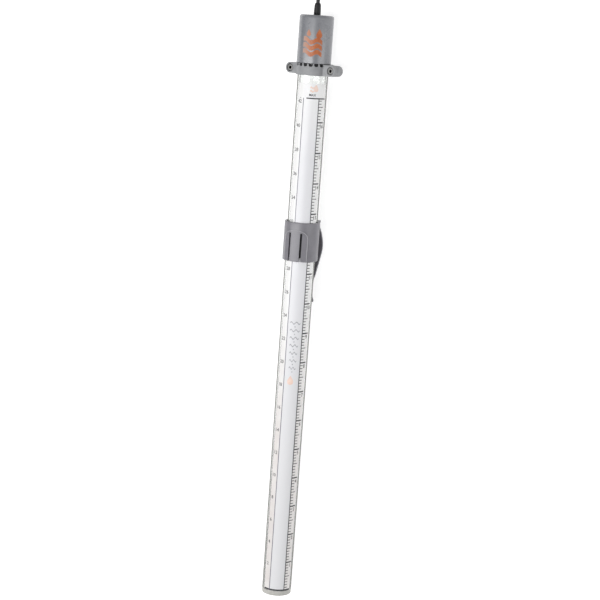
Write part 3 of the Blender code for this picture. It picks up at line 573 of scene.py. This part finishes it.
TIE_HALF, TIE_FOOT, TIE_TOP, TIE_CORNER = 3, 0.6, 14.0, 3
BUNDLE_WIDTH, INNER_TURN = 13.6, 12.2
PLUG_PLACE = Matrix.Translation((0.0541, 0.3157, 0.0053)) @ Matrix.Rotation(math.radians(90), 4, "X")
PLUG_PLACE = PLUG_PLACE @ Matrix.Scale(MM, 4)


def coil_points():
    """The wound turns, each moving to the next slot over its last quarter."""
    slots = [(across, height) for height, places in COIL_LAYERS for across in places]
    slots += [(0.0, 12.1)]
    points = []
    for i in range(int(COIL_TURNS * TURN_POINTS) + 1):
        turn = i / TURN_POINTS
        whole = min(int(turn), len(slots) - 1)
        after = min(whole + 1, len(slots) - 1)
        share = min(1.0, max(0.0, (turn - whole - 0.75) / 0.25))
        share = share * share * (3 - 2 * share)
        across = slots[whole][0] * (1 - share) + slots[after][0] * share
        height = slots[whole][1] * (1 - share) + slots[after][1] * share
        angle = math.pi - 2 * math.pi * turn
        radius = COIL_R + across
        points.append(COIL_CENTRE + Vector((radius * math.cos(angle), radius * math.sin(angle), height)) * MM)
    return points


def make_cord():
    """The lead: out of the gland, round the coil and into the plug's boot."""
    lead = [Vector(CORD_ROUTE[0]) - Vector((0, 0.0004, 0)), *smooth_route(CORD_ROUTE, LEAD_STEP)]
    tail = smooth_route(CORD_END_ROUTE, LEAD_STEP)
    turns = coil_points()
    joined = smooth_route([lead[-3], lead[-2], turns[4], turns[5]], LEAD_STEP)[1:-1]
    points = lead[:-3] + joined + turns[5:-4]
    points += smooth_route([turns[-5], turns[-4], tail[2], tail[3]], LEAD_STEP)[1:] + tail[4:]
    clean = [points[0]]
    for point in points[1:]:
        if (point - clean[-1]).length > CLOSEST:
            clean.append(point)
    curve = bpy.data.curves.new("lead", "CURVE")
    curve.dimensions = "3D"
    curve.bevel_depth, curve.bevel_resolution = CORD_R, 3
    curve.use_fill_caps = True
    spline = curve.splines.new("POLY")
    spline.points.add(len(clean) - 1)
    for place, point in zip(spline.points, clean):
        place.co = (*point, 1)
    curve.materials.append(LOOKS["jacket"])
    return hand_over(placed("lead", curve), "sensor", "cable_jacket", "cord", "cord_coil", "cord_end")


def rounded_box(across, low, high, edge):
    """The outline of a band round the coil's turns."""
    half = across / 2
    return fillet([(COIL_R + half, low), (COIL_R + half, high), (COIL_R - half, high), (COIL_R - half, low)],
                  edge, 5)


def make_tie():
    """A ribbed rubber band round the bundle of turns."""
    bm = bmesh.new()
    bulge = INNER_TURN - math.sqrt(INNER_TURN ** 2 - TIE_HALF ** 2)
    across = BUNDLE_WIDTH + 2 * (0.3 + bulge)
    place = Matrix.Translation(COIL_CENTRE) @ Matrix.Rotation(TIE_TURN, 4, "Z") @ Matrix.Scale(MM, 4)
    inner = rounded_box(across, TIE_FOOT, TIE_TOP, TIE_CORNER)
    stations = [(-TIE_HALF, 0.25), (-2.8, 0.5)]
    stations += [(-2.3 + 0.46 * i, 0.6 if i % 2 else 0.5) for i in range(11)] + [(2.8, 0.5), (TIE_HALF, 0.25)]
    rings = []
    for y, wall in stations:
        outer = rounded_box(across + 2 * wall, TIE_FOOT - wall, TIE_TOP + wall, TIE_CORNER + wall)
        rings.append([bm.verts.new((a, y, b)) for a, b in outer])
    inner_rings = [[bm.verts.new((a, y, b)) for a, b in inner] for y in (-TIE_HALF, TIE_HALF)]
    for first, second in [*zip(rings, rings[1:]), (inner_rings[1], inner_rings[0]),
                          (inner_rings[0], rings[0]), (rings[-1], inner_rings[1])]:
        bridge(bm, first, second)
    return polish("lead_tie", bm, "rubber", "sensor", "seal_rubber", "cord_tie", place=place, sharp=50)


def make_plug():
    """Round metal plug with a grooved grip and a tapered boot."""
    bm = bmesh.new()
    boot = [(0, 0), (2.4, 0, 0.2), (4.3, 13, 0.3), (0, 13)]
    lathe(bm, fillet(boot, 0.3, 4, False), 48)
    boot_piece = polish("lead_boot", bm, "black", "sensor", "black_plastic", "plug_boot", place=PLUG_PLACE)
    bm = bmesh.new()
    grip = [(0, 13.3), (5.0, 13.3, 0.3)]
    for i in range(9):
        height = 15.3 + 1.25 * i
        groove = ((5.2, 0), (5.2, 0.65), (4.9, 0.8), (4.9, 1.1))
        grip += [(radius, height + rise, 0.1) for radius, rise in groove]
    grip += [(5.2, 27.2, 0.1), (5.2, 28.3, 0.4), (4.4, 28.3, 0.15), (4.4, 37.3, 0.25), (3.7, 37.3, 0.2),
             (3.7, 16.3, 0), (0, 16.3)]
    lathe(bm, fillet(grip, 0.2, 3, False), 64)
    shell = polish("plug_body", bm, "aluminium", "sensor", "can_aluminium", "plug_shell", place=PLUG_PLACE)
    return [boot_piece, shell]


cord = make_cord()
tie = make_tie()
plug_pieces = make_plug()


# ---- tube and film ----
def make_tube():
    bm = bmesh.new()
    inner = TUBE_R - TUBE_WALL
    lathe(bm, fillet([(TUBE_R, 0), (TUBE_R, TUBE_LENGTH), (inner, TUBE_LENGTH), (inner, 0)], 0.35), 128)
    polish("measuring_tube", bm, "acrylic", "sensor", "clear_acrylic", "tube")


def make_film():
    """The printed film, part of the way round the tube, with its UV in degrees across and millimetres up."""
    bm = bmesh.new()
    layer = bm.loops.layers.uv.new("film")
    steps, inner = 72, TUBE_R + 0.05
    columns, places = [], []
    for i in range(steps + 1):
        angle = FILM_TURN - FILM_HALF_ANGLE + 2 * FILM_HALF_ANGLE * i / steps
        out = Vector((math.sin(angle), -math.cos(angle), 0))
        foot, top = Vector((0, 0, FILM_FOOT)), Vector((0, 0, FILM_TOP))
        columns.append([bm.verts.new(p) for p in (out * inner + foot, out * FILM_R + foot,
                                                  out * FILM_R + top, out * inner + top)])
        places.append(math.degrees(angle))
    heights = (FILM_FOOT, FILM_FOOT, FILM_TOP, FILM_TOP)
    for k, (first, second) in enumerate(zip(columns, columns[1:])):
        for i in range(4):
            j = (i + 1) % 4
            face = bm.faces.new((first[i], first[j], second[j], second[i]))
            for loop, spot in zip(face.loops, ((k, i), (k, j), (k + 1, j), (k + 1, i))):
                loop[layer].uv = (places[spot[0]], heights[spot[1]])
    for column, k in ((columns[0], 0), (list(reversed(columns[-1])), steps)):
        face = bm.faces.new(column)
        for loop in face.loops:
            loop[layer].uv = (places[k], FILM_FOOT)
    polish("scale_film", bm, "film", "sensor", "printed_film", "scale_label")


make_tube()
make_film()


# ---- printing ----
INK_FOOT, INK = 0.02, 0.03  # millimetres above the film, and thick
FIGURE_SIZE, FIGURE_SWELL = 1.37, 0.05  # font size for each millimetre of figure, and its swelling


def wrapped(name, bm, radius, look, slot="printed_film", pitch=0.7):
    """Bends flat printing, with X across and Y up, round the tube, cut into strips this wide."""
    low = min(v.co.x for v in bm.verts)
    high = max(v.co.x for v in bm.verts)
    for i in range(1, int((high - low) / pitch) + 1):
        everything = bm.verts[:] + bm.edges[:] + bm.faces[:]
        bmesh.ops.bisect_plane(bm, geom=everything, plane_co=(low + i * pitch, 0, 0), plane_no=(1, 0, 0))
    bmesh.ops.recalc_face_normals(bm, faces=bm.faces)
    for vertex in bm.verts:
        angle, out = vertex.co.x / radius, radius + INK_FOOT + vertex.co.z
        vertex.co = (out * math.sin(angle), -out * math.cos(angle), vertex.co.y)
    return polish(name, bm, look, "sensor", slot, sharp=20, recalculate=False)


def written(bm, words, height, x, y):
    """Adds words, centred on a place, with figures this tall."""
    curve = bpy.data.curves.new("words", "FONT")
    curve.body, curve.size = words, height * FIGURE_SIZE
    curve.align_x, curve.align_y = "CENTER", "CENTER"
    curve.extrude, curve.resolution_u, curve.offset = INK / 2, 3, FIGURE_SWELL
    holder = placed("words", curve)
    mesh = evaluated(holder)
    mesh.transform(Matrix.Translation((x, y, INK / 2)))
    bm.from_mesh(mesh)
    bpy.data.objects.remove(holder)
    bpy.data.curves.remove(curve)
    bpy.data.meshes.remove(mesh)


def at_view(degrees):
    """The distance round the film of a place this many degrees right of the side that faces the camera."""
    return (VIEW_TURN + math.radians(degrees)) * FILM_R


def strip(bm, left, right, low, high):
    """A printed box between two distances round the film and two heights."""
    prism(bm, [(left, low), (right, low), (right, high), (left, high)], 0, INK)


def band(bm, line, thick):
    """A printed band between a line and the same line this much higher."""
    prism(bm, line + [(x, z + thick) for x, z in reversed(line)], 0, INK)


def tick_tree():
    """Scale marks up the tube: every fifth is longer and every tenth the longest."""
    tree = bpy.data.node_groups.new("scale_marks", "GeometryNodeTree")
    sockets = {}
    for name, kind, value in (("Marks", "NodeSocketInt", 171), ("Spacing", "NodeSocketFloat", 2.54),
                              ("Foot", "NodeSocketFloat", ZERO), ("Long", "NodeSocketFloat", 6.0),
                              ("Middle", "NodeSocketFloat", 4.6), ("Short", "NodeSocketFloat", 2.8),
                              ("Stroke", "NodeSocketFloat", 0.5), ("Radius", "NodeSocketFloat", FILM_R),
                              ("Start", "NodeSocketFloat", 0.0), ("Ink", "NodeSocketFloat", INK)):
        sockets[name] = tree.interface.new_socket(name, in_out="INPUT", socket_type=kind)
        sockets[name].default_value = value
    tree.interface.new_socket("Geometry", in_out="OUTPUT", socket_type="NodeSocketGeometry")
    given = tree.nodes.new("NodeGroupInput")

    def add(kind, settings=None, inputs=None, output=0):
        made = tree.nodes.new(kind)
        for key, value in (settings or {}).items():
            setattr(made, key, value)
        for key, value in (inputs or {}).items():
            if isinstance(value, bpy.types.NodeSocket):
                tree.links.new(value, made.inputs[key])
            else:
                made.inputs[key].default_value = value
        return made.outputs[output]

    def maths(operation, *values):
        return add("ShaderNodeMath", {"operation": operation}, dict(enumerate(values)))

    size = given.outputs
    start = add("ShaderNodeCombineXYZ", None, {2: size["Foot"]})
    offset = add("ShaderNodeCombineXYZ", None, {2: size["Spacing"]})
    line = add("GeometryNodeMeshLine", {"mode": "OFFSET"},
               {"Count": size["Marks"], "Start Location": start, "Offset": offset})
    index = add("GeometryNodeInputIndex")
    tenth = maths("COMPARE", maths("MODULO", index, 10.0), 0.0, 0.1)
    fifth = maths("COMPARE", maths("MODULO", index, 5.0), 0.0, 0.1)
    length = size["Short"]
    for every, longer, shorter in ((fifth, "Middle", "Short"), (tenth, "Long", "Middle")):
        length = maths("ADD", length, maths("MULTIPLY", every, maths("SUBTRACT", size[longer], size[shorter])))
    stroke = maths("MULTIPLY", size["Stroke"], maths("ADD", 1.0, maths("MULTIPLY", tenth, 0.8)))
    grid = add("GeometryNodeMeshGrid", None, {"Size X": 1.0, "Size Y": 1.0, "Vertices X": 9, "Vertices Y": 2})
    grid = add("GeometryNodeTransform", None, {"Geometry": grid, "Translation": (0.5, 0, 0)})
    scale = add("ShaderNodeCombineXYZ", None, {0: length, 1: stroke, 2: 1.0})
    marks = add("GeometryNodeInstanceOnPoints", None, {"Points": line, "Instance": grid, "Scale": scale})
    marks = add("GeometryNodeRealizeInstances", None, {"Geometry": marks})
    spot = tree.nodes.new("ShaderNodeSeparateXYZ")
    tree.links.new(add("GeometryNodeInputPosition"), spot.inputs[0])
    angle = maths("ADD", maths("DIVIDE", spot.outputs[0], size["Radius"]), size["Start"])
    x = maths("MULTIPLY", size["Radius"], maths("SINE", angle))
    y = maths("MULTIPLY", maths("MULTIPLY", size["Radius"], maths("COSINE", angle)), -1.0)
    z = maths("ADD", spot.outputs[1], spot.outputs[2])
    bent = add("ShaderNodeCombineXYZ", None, {0: x, 1: y, 2: z})
    marks = add("GeometryNodeSetPosition", None, {"Geometry": marks, "Position": bent})
    raised = add("GeometryNodeExtrudeMesh", None,
                 {"Mesh": marks, "Offset Scale": size["Ink"], "Individual": False})
    under = add("GeometryNodeFlipFaces", None, {"Mesh": marks})
    join = tree.nodes.new("GeometryNodeJoinGeometry")
    tree.links.new(under, join.inputs[0])
    tree.links.new(raised, join.inputs[0])
    merged = add("GeometryNodeMergeByDistance", None, {"Geometry": join.outputs[0], "Distance": 1e-4})
    merged = add("GeometryNodeRealizeInstances", None, {"Geometry": merged})
    inked = add("GeometryNodeSetMaterial", None, {"Geometry": merged, "Material": LOOKS["dark_ink"]})
    out = tree.nodes.new("NodeGroupOutput")
    tree.links.new(inked, out.inputs[0])
    return tree, sockets


def grown(tree, sockets, **sizes):
    """The plain mesh, as a bmesh, that a tree makes with these sizes."""
    mesh = bpy.data.meshes.new("seed")
    holder = placed("seed", mesh)
    change = holder.modifiers.new("grow", "NODES")
    change.node_group = tree
    for name, value in sizes.items():
        change[sockets[name].identifier] = value
    made = evaluated(holder)
    holder.modifiers.remove(change)
    bm = bmesh.new()
    bm.from_mesh(made)
    bpy.data.objects.remove(holder)
    bpy.data.meshes.remove(mesh)
    bpy.data.meshes.remove(made)
    return bm


def make_scale():
    """The inch marks, both rows of figures and the lines between the film's bands."""
    tree, sockets = tick_tree()
    start = VIEW_TURN + math.radians(RIGHT_LINE)
    bm = grown(tree, sockets, Marks=168, Long=6.3, Middle=4.7, Short=2.9, Stroke=0.6,
               Radius=FILM_R + INK_FOOT, Start=start)
    polish("inch_marks", bm, "dark_ink", "sensor", "printed_film", sharp=20, recalculate=False)

    bm = bmesh.new()
    for number in range(1, 17):
        written(bm, str(number), 3.3, at_view(50), ZERO + INCH * number - 3.3)
    wrapped("inch_figures", bm, FILM_R, "dark_ink")

    bm = bmesh.new()
    for number in range(2, 43, 2):
        written(bm, str(number), 3.0, at_view(-45), ZERO + CENTIMETRE * number + 3)
    wrapped("centimetre_figures", bm, FILM_R, "grey_ink")

    bm = bmesh.new()
    strip(bm, at_view(RIGHT_LINE) - 0.36, at_view(RIGHT_LINE) + 0.36, ZERO, MAX_MARK)
    strip(bm, at_view(-54.5), at_view(58), ZERO - 0.4, ZERO + 0.95)
    strip(bm, at_view(-18), at_view(58), MAX_MARK - 0.5, MAX_MARK + 0.5)
    written(bm, "MAX", 2.0, at_view(4), MAX_MARK + 2.6)
    wrapped("scale_lines", bm, FILM_R, "dark_ink")

    bm = bmesh.new()
    strip(bm, at_view(LEFT_LINE) - 0.32, at_view(LEFT_LINE) + 0.32, ZERO, MAX_MARK)
    strip(bm, at_view(-45), at_view(-40), MAX_MARK - 0.3, MAX_MARK + 0.2)
    wrapped("left_line", bm, FILM_R, "violet_ink")


make_scale()


def wave(x0, x1, y, rise, waves, steps=24):
    """The points of a wavy line, this high above and below y."""
    return [(x0 + (x1 - x0) * i / steps, y + rise * math.sin(2 * math.pi * waves * i / steps))
            for i in range(steps + 1)]


def drop_outline(x, y, size, steps=28):
    """A water drop, point upwards, this tall."""
    points = []
    for i in range(steps):
        a = 2 * math.pi * i / steps
        width = math.sin(a) * math.sin(a / 2) ** 1.3
        points.append((x + size * 0.45 * width, y + size * 0.5 * math.cos(a)))
    return points


def make_emblems():
    """A plain sign of waves and drops on the head, and small water signs on the film."""
    bm = bmesh.new()
    left, right = math.radians(-22) * CAP_R, math.radians(44) * CAP_R
    rise, reach, start, slope, steps = 1.3, 5.2 / 3.0, 0.6, 0.07, 30
    for foot, thick in ((466.6, 3.7), (471.4, 3.9), (476.3, 3.7)):
        places = [(right - left) * i / steps for i in range(steps + 1)]
        band(bm, [(left + x, foot + rise * math.sin(x / reach + start) - slope * x) for x in places], thick)
    prism(bm, drop_outline(left + 4.6, 484.0, 5.6), 0, INK)
    prism(bm, drop_outline(right - 3.0, 483.6, 7.6), 0, INK)
    wrapped("water_sign", bm, CAP_R, "emblem", "cap_plastic")

    bm = bmesh.new()
    prism(bm, drop_outline(at_view(16), 439.4, 6.0), 0, INK)
    for foot in (436.2, 439.0):
        band(bm, wave(at_view(-6), at_view(10), foot, 0.5, 1.2), 1.3)
    wrapped("film_drop", bm, FILM_R, "peach_ink")

    bm = bmesh.new()
    for i in range(7):
        height, reach = 243.0 - 6.5 * i, 20 - 1.2 * i
        band(bm, wave(at_view(-reach), at_view(reach), height, 0.9, 2), -1.0)
        strip(bm, at_view(-2), at_view(2), height - 4.2, height - 3.2)
    wrapped("level_sign", bm, FILM_R, "pale_ink")

    bm = bmesh.new()
    prism(bm, drop_outline(at_view(-4), 193.0, 8.0), 0, INK)
    wrapped("level_drop", bm, FILM_R, "peach_ink")


make_emblems()


# ---- head ----
def make_cap():
    bm = bmesh.new()
    hole, ceiling = 3.2, CAP_TOP - 2.4
    profile = [(CAP_R, CAP_FOOT, 0.3), (CAP_R, CAP_TOP, 2.6), (hole, CAP_TOP, 0.3), (hole, ceiling, 0),
               (CAP_BORE, ceiling, 1.3), (CAP_BORE, CAP_FOOT, 0.2)]
    lathe(bm, fillet(profile, 0.3, 8), 128)
    polish("head_cover", bm, "cap", "sensor", "cap_plastic", "head_cap")


def make_relief():
    bm = bmesh.new()
    flange_top = CAP_TOP - 2.7
    profile = [(0, flange_top - 1.8), (4.6, flange_top - 1.8), (4.6, flange_top), (2.9, flange_top, 0.1),
               (2.9, CAP_TOP + 0.3, 0.1), (2.88, CAP_TOP + 3, 0.5), (2.72, CAP_TOP + 6.5, 0.5),
               (2.6, RELIEF_TIP - 1.4, 0.6), (2.1, RELIEF_TIP - 0.3, 0.4), (1.7, RELIEF_TIP, 0.15),
               (0, RELIEF_TIP)]
    lathe(bm, fillet(profile, 0.2, 4, False), 48)
    polish("lead_gland", bm, "jacket", "sensor", "cable_jacket", "strain_relief")


def make_gasket():
    """A thin black band under the collar, put there as painted shade that shows in its vents."""
    bm = bmesh.new()
    lathe(bm, [(12.83, 455.6), (12.83, 459.2), (12.73, 459.2), (12.73, 455.6)], 96)
    polish("collar_vent_shade", bm, "rubber", "sensor", "seal_rubber")


make_cap()
make_relief()
make_gasket()


# ---- clip ----
def sector(bm, inner, outer, low, tops, steps, half_angle):
    """A shell round the tube with its own top height at each angle."""
    columns = []
    for i in range(steps + 1):
        angle = -half_angle + 2 * half_angle * i / steps
        out = Vector((math.sin(angle), -math.cos(angle), 0))
        foot, top = Vector((0, 0, low)), Vector((0, 0, tops(angle)))
        columns.append([bm.verts.new(p) for p in (out * inner + foot, out * outer + foot,
                                                  out * outer + top, out * inner + top)])
    skin(bm, columns)


LIP_R, LIP = 13.15, 1.2
PANEL_ANGLE, ARCH_TOP, ARCH_DROP = math.radians(41), 26.4, 6.6
SLOT_ANGLE, SLOT_HALF, SLOT_TOP = math.radians(19), 0.85, 24
SHELF_HALF, SHELF_OUT = 10, 18.02
BEAD_R, BEAD_SIDES, BEAD_STEPS = 0.24, 8, 48


def arch_height(angle):
    """The top of the raised panel at an angle round the sleeve."""
    share = min(1.0, abs(angle) / PANEL_ANGLE)
    return SLEEVE_FOOT + ARCH_TOP - ARCH_DROP * (1 - math.sqrt(1 - share ** 2))


def make_sleeve():
    """The sleeve, with its raised panel, the shelf that the arm springs from and two slots."""
    blank = bmesh.new()
    lip_foot = SLEEVE_TOP - LIP
    profile = [(SLEEVE_R, SLEEVE_FOOT, 0.35), (SLEEVE_R, SLEEVE_TOP, 0.4), (LIP_R, SLEEVE_TOP, 0.2),
               (LIP_R, lip_foot, 0), (SLEEVE_BORE, lip_foot, 0), (SLEEVE_BORE, SLEEVE_FOOT, 0.2)]
    lathe(blank, fillet(profile, 0.3, 3), 120)
    panel = bmesh.new()
    sector(panel, SLEEVE_R - 0.65, SLEEVE_R + 0.35, SLEEVE_FOOT + 0.3, arch_height, 40, PANEL_ANGLE)
    shelf = bmesh.new()
    outline = [(-SHELF_HALF, 14), (SHELF_HALF, 14), (SHELF_HALF, SHELF_OUT), (-SHELF_HALF, SHELF_OUT)]
    prism(shelf, fillet(outline, 0.5), SLEEVE_TOP - 2, SLEEVE_TOP - 0.05)
    slots = []
    for side in (-1, 1):
        slot = bmesh.new()
        outline = [(-SLOT_HALF, -17), (SLOT_HALF, -17), (SLOT_HALF, -12.2), (-SLOT_HALF, -12.2)]
        turn = Matrix.Rotation(side * SLOT_ANGLE, 4, "Z")
        prism(slot, outline, SLEEVE_FOOT - 0.3, SLEEVE_FOOT + SLOT_TOP, turn)
        slots.append(slot)
    bm = carved(blank, (panel, shelf), slots)
    polish("wall_clip", bm, "clip", "clip", "clip_plastic", "clip_sleeve", sharp=30)


def make_bead():
    """A bead round the sleeve's raised panel, coloured pale as a painted highlight on the panel's edge."""
    bm = bmesh.new()
    angles = [-PANEL_ANGLE + 2 * PANEL_ANGLE * i / BEAD_STEPS for i in range(BEAD_STEPS + 1)]
    line = [(angle, arch_height(angle)) for angle in angles]
    line = [(-PANEL_ANGLE, SLEEVE_FOOT + 0.6), *line, (PANEL_ANGLE, SLEEVE_FOOT + 0.6)]
    radius = SLEEVE_R + 0.28
    spots = [Vector((math.sin(a) * radius, -math.cos(a) * radius, z)) for a, z in line]
    rings = []
    for i, spot in enumerate(spots):
        ahead = (spots[min(i + 1, len(spots) - 1)] - spots[max(i - 1, 0)]).normalized()
        out = Vector((spot.x, spot.y, 0)).normalized()
        side = ahead.cross(out).normalized()
        out = side.cross(ahead)
        rings.append([bm.verts.new(spot + (side * math.cos(a) + out * math.sin(a)) * BEAD_R)
                      for a in (2 * math.pi * k / BEAD_SIDES for k in range(BEAD_SIDES))])
    skin(bm, rings)
    polish("arch_bead_painted_highlight", bm, "bead", "clip", "clip_plastic", sharp=60)


ARM_HALF_THICK, ARM_END = 1.0, 0.82  # and the share of it at both ends
ARM_LINE = (  # drop below the sleeve's top, distance from the tube's axis, width
    (2.3, 16.17, 20.0), (6.0, 16.87, 20.0), (11.0, 18.98, 22.0), (17.2, 21.57, 23.0), (22.0, 23.02, 23.0),
    (27.0, 22.13, 23.0), (36.0, 18.59, 21.6), (47.0, 15.04, 19.0), (52.0, 14.15, 17.0), (65.0, 14.15, 17.0),
    (68.0, 14.75, 18.4), (70.0, 15.85, 18.4),
)


def make_arm():
    """The sprung strap that grips the tank's wall, with soft edges."""
    fine = smooth_route([Vector(p) for p in ARM_LINE], 0.9)
    spots = [Vector((0, radius, SLEEVE_TOP - drop)) for drop, radius, _ in fine]
    bm = bmesh.new()
    rings = []
    for i, (spot, (_, _, width)) in enumerate(zip(spots, fine)):
        ahead = (spots[min(i + 1, len(spots) - 1)] - spots[max(i - 1, 0)]).normalized()
        if i == 0:
            ahead = Vector((0, 0, -1))
        outward = Vector((0, -ahead.z, ahead.y))
        half, thick = width / 2, ARM_HALF_THICK * (ARM_END if i in (0, len(spots) - 1) else 1)
        section = fillet([(-half, -thick), (half, -thick), (half, thick), (-half, thick)], 0.5, 3)
        rings.append([bm.verts.new(spot + Vector((a, 0, 0)) + outward * b) for a, b in section])
    skin(bm, rings)
    polish("clip_spring_arm", bm, "clip", "arm", "clip_plastic", "clip_arm", sharp=50)


make_sleeve()
make_bead()
make_arm()


# ---- pieces taken from the CAD, with their edges softened ----
def softened(node, name, look, body, slot, edge, sharp=35):
    """A merged copy of a CAD node with a small bevel on its sharp edges."""
    bm = bmesh.new()
    bm.from_mesh(frame["nodes"][node].data)
    bmesh.ops.remove_doubles(bm, verts=bm.verts, dist=2e-6)
    bmesh.ops.dissolve_limit(bm, angle_limit=math.radians(1), verts=bm.verts, edges=bm.edges)
    piece = polish(name, bm, look, body, slot, node, place=Matrix.Identity(4), sharp=sharp)
    bevel = piece.modifiers.new("soft_edges", "BEVEL")
    bevel.width, bevel.segments, bevel.limit_method = edge * MM, 2, "ANGLE"
    bevel.angle_limit = math.radians(40)
    return piece


softened("collar_front", "collar_shell_front", "collar", "sensor", "collar_plastic", 0.3)
softened("collar_rear", "collar_shell_rear", "collar", "sensor", "collar_plastic", 0.3)
for side, across in (("left", -SCREW_REACH), ("right", SCREW_REACH)):
    screw = softened(f"collar_screw_{side}", f"socket_screw_{side}", "steel", "sensor", "screw_steel", 0.12)
    screw.data.materials.append(LOOKS["socket_shade"])  # near-black painted shade for the walls and floor of the socket
    for face in screw.data.polygons:
        spots = [HEAD.inverted() @ screw.data.vertices[i].co for i in face.vertices]
        if all(math.hypot(v.x - across, v.z - SCREW_HEIGHT) < SOCKET_R + 0.1 and v.y < -1 for v in spots):
            face.material_index = 1
    softened(f"collar_nut_{side}", f"hex_nut_{side}", "steel", "sensor", "screw_steel", 0.15)
insert = softened("plug_insert", "contact_block", "black", "sensor", "black_plastic", 0.08)

for node, look in {
    "cap_seal": "rubber", "port_seal": "rubber", "plug_seal_lower": "rubber", "plug_seal_upper": "rubber",
    "grip_liner": "rubber", "sensor_plug": "black", "controller_chip": "black", "interface_chip": "black",
    "sensor_board": "laminate", "board_header": "ivory", "pressure_sensor": "aluminium",
    "smoothing_capacitor": "aluminium", "lead_tail": "jacket",
}.items():
    data = frame["nodes"][node]
    if not data.material_slots:
        data.data.materials.append(None)
    for place in data.material_slots:
        place.material = LOOKS[look]


# ---- floor, light and world ----
def make_stage():
    """A pale floor, a soft sky and two long lamps beside the tube."""
    look = Look("pale_floor")
    soft = look.noise(60, 3)
    tone = look.mix(look.spread(soft, 0.3, 0.7), (0.44, 0.44, 0.44), (0.46, 0.46, 0.46))
    floor_look = look.done(look.shader(tone, 0.6, None, Emission_Color=(1, 1, 1, 1), Emission_Strength=0.8))
    bm = bmesh.new()
    bmesh.ops.create_grid(bm, x_segments=1, y_segments=1, size=4)
    mesh = bpy.data.meshes.new("floor")
    bm.to_mesh(mesh)
    bm.free()
    mesh.materials.append(floor_look)
    floor = placed("floor", mesh)

    world = bpy.data.worlds.new("studio")
    bpy.context.scene.world = world
    sky = Look("studio", world)
    height = sky.axis(sky.node("ShaderNodeTexCoord", output="Generated"), 2)
    tone = sky.ramp(height, (0.0, (0.10, 0.10, 0.11)), (0.75, (1, 1, 1)))
    sky.done(sky.node("ShaderNodeBackground", None, {"Color": tone, "Strength": 0.42}), "ShaderNodeOutputWorld")

    middle = SENSOR @ Vector((0, 0, 300))
    for name, place, size, power in (("key_light", (-0.42, 0.0, 1.1), (0.35, 1.5), 12.5),
                                     ("fill_light", (1.15, 0.1, 0.3), (0.25, 1.3), 4.0)):
        data = bpy.data.lights.new(name, "AREA")
        data.shape, data.size, data.size_y, data.energy = "RECTANGLE", *size, power
        lamp = placed(name, data)
        lamp.location = place
        lamp.rotation_euler = (middle - Vector(place)).to_track_quat("-Z", "Y").to_euler()


make_stage()
bpy.context.scene.view_settings.view_transform = "Standard"
bpy.context.scene.view_settings.look = "None"
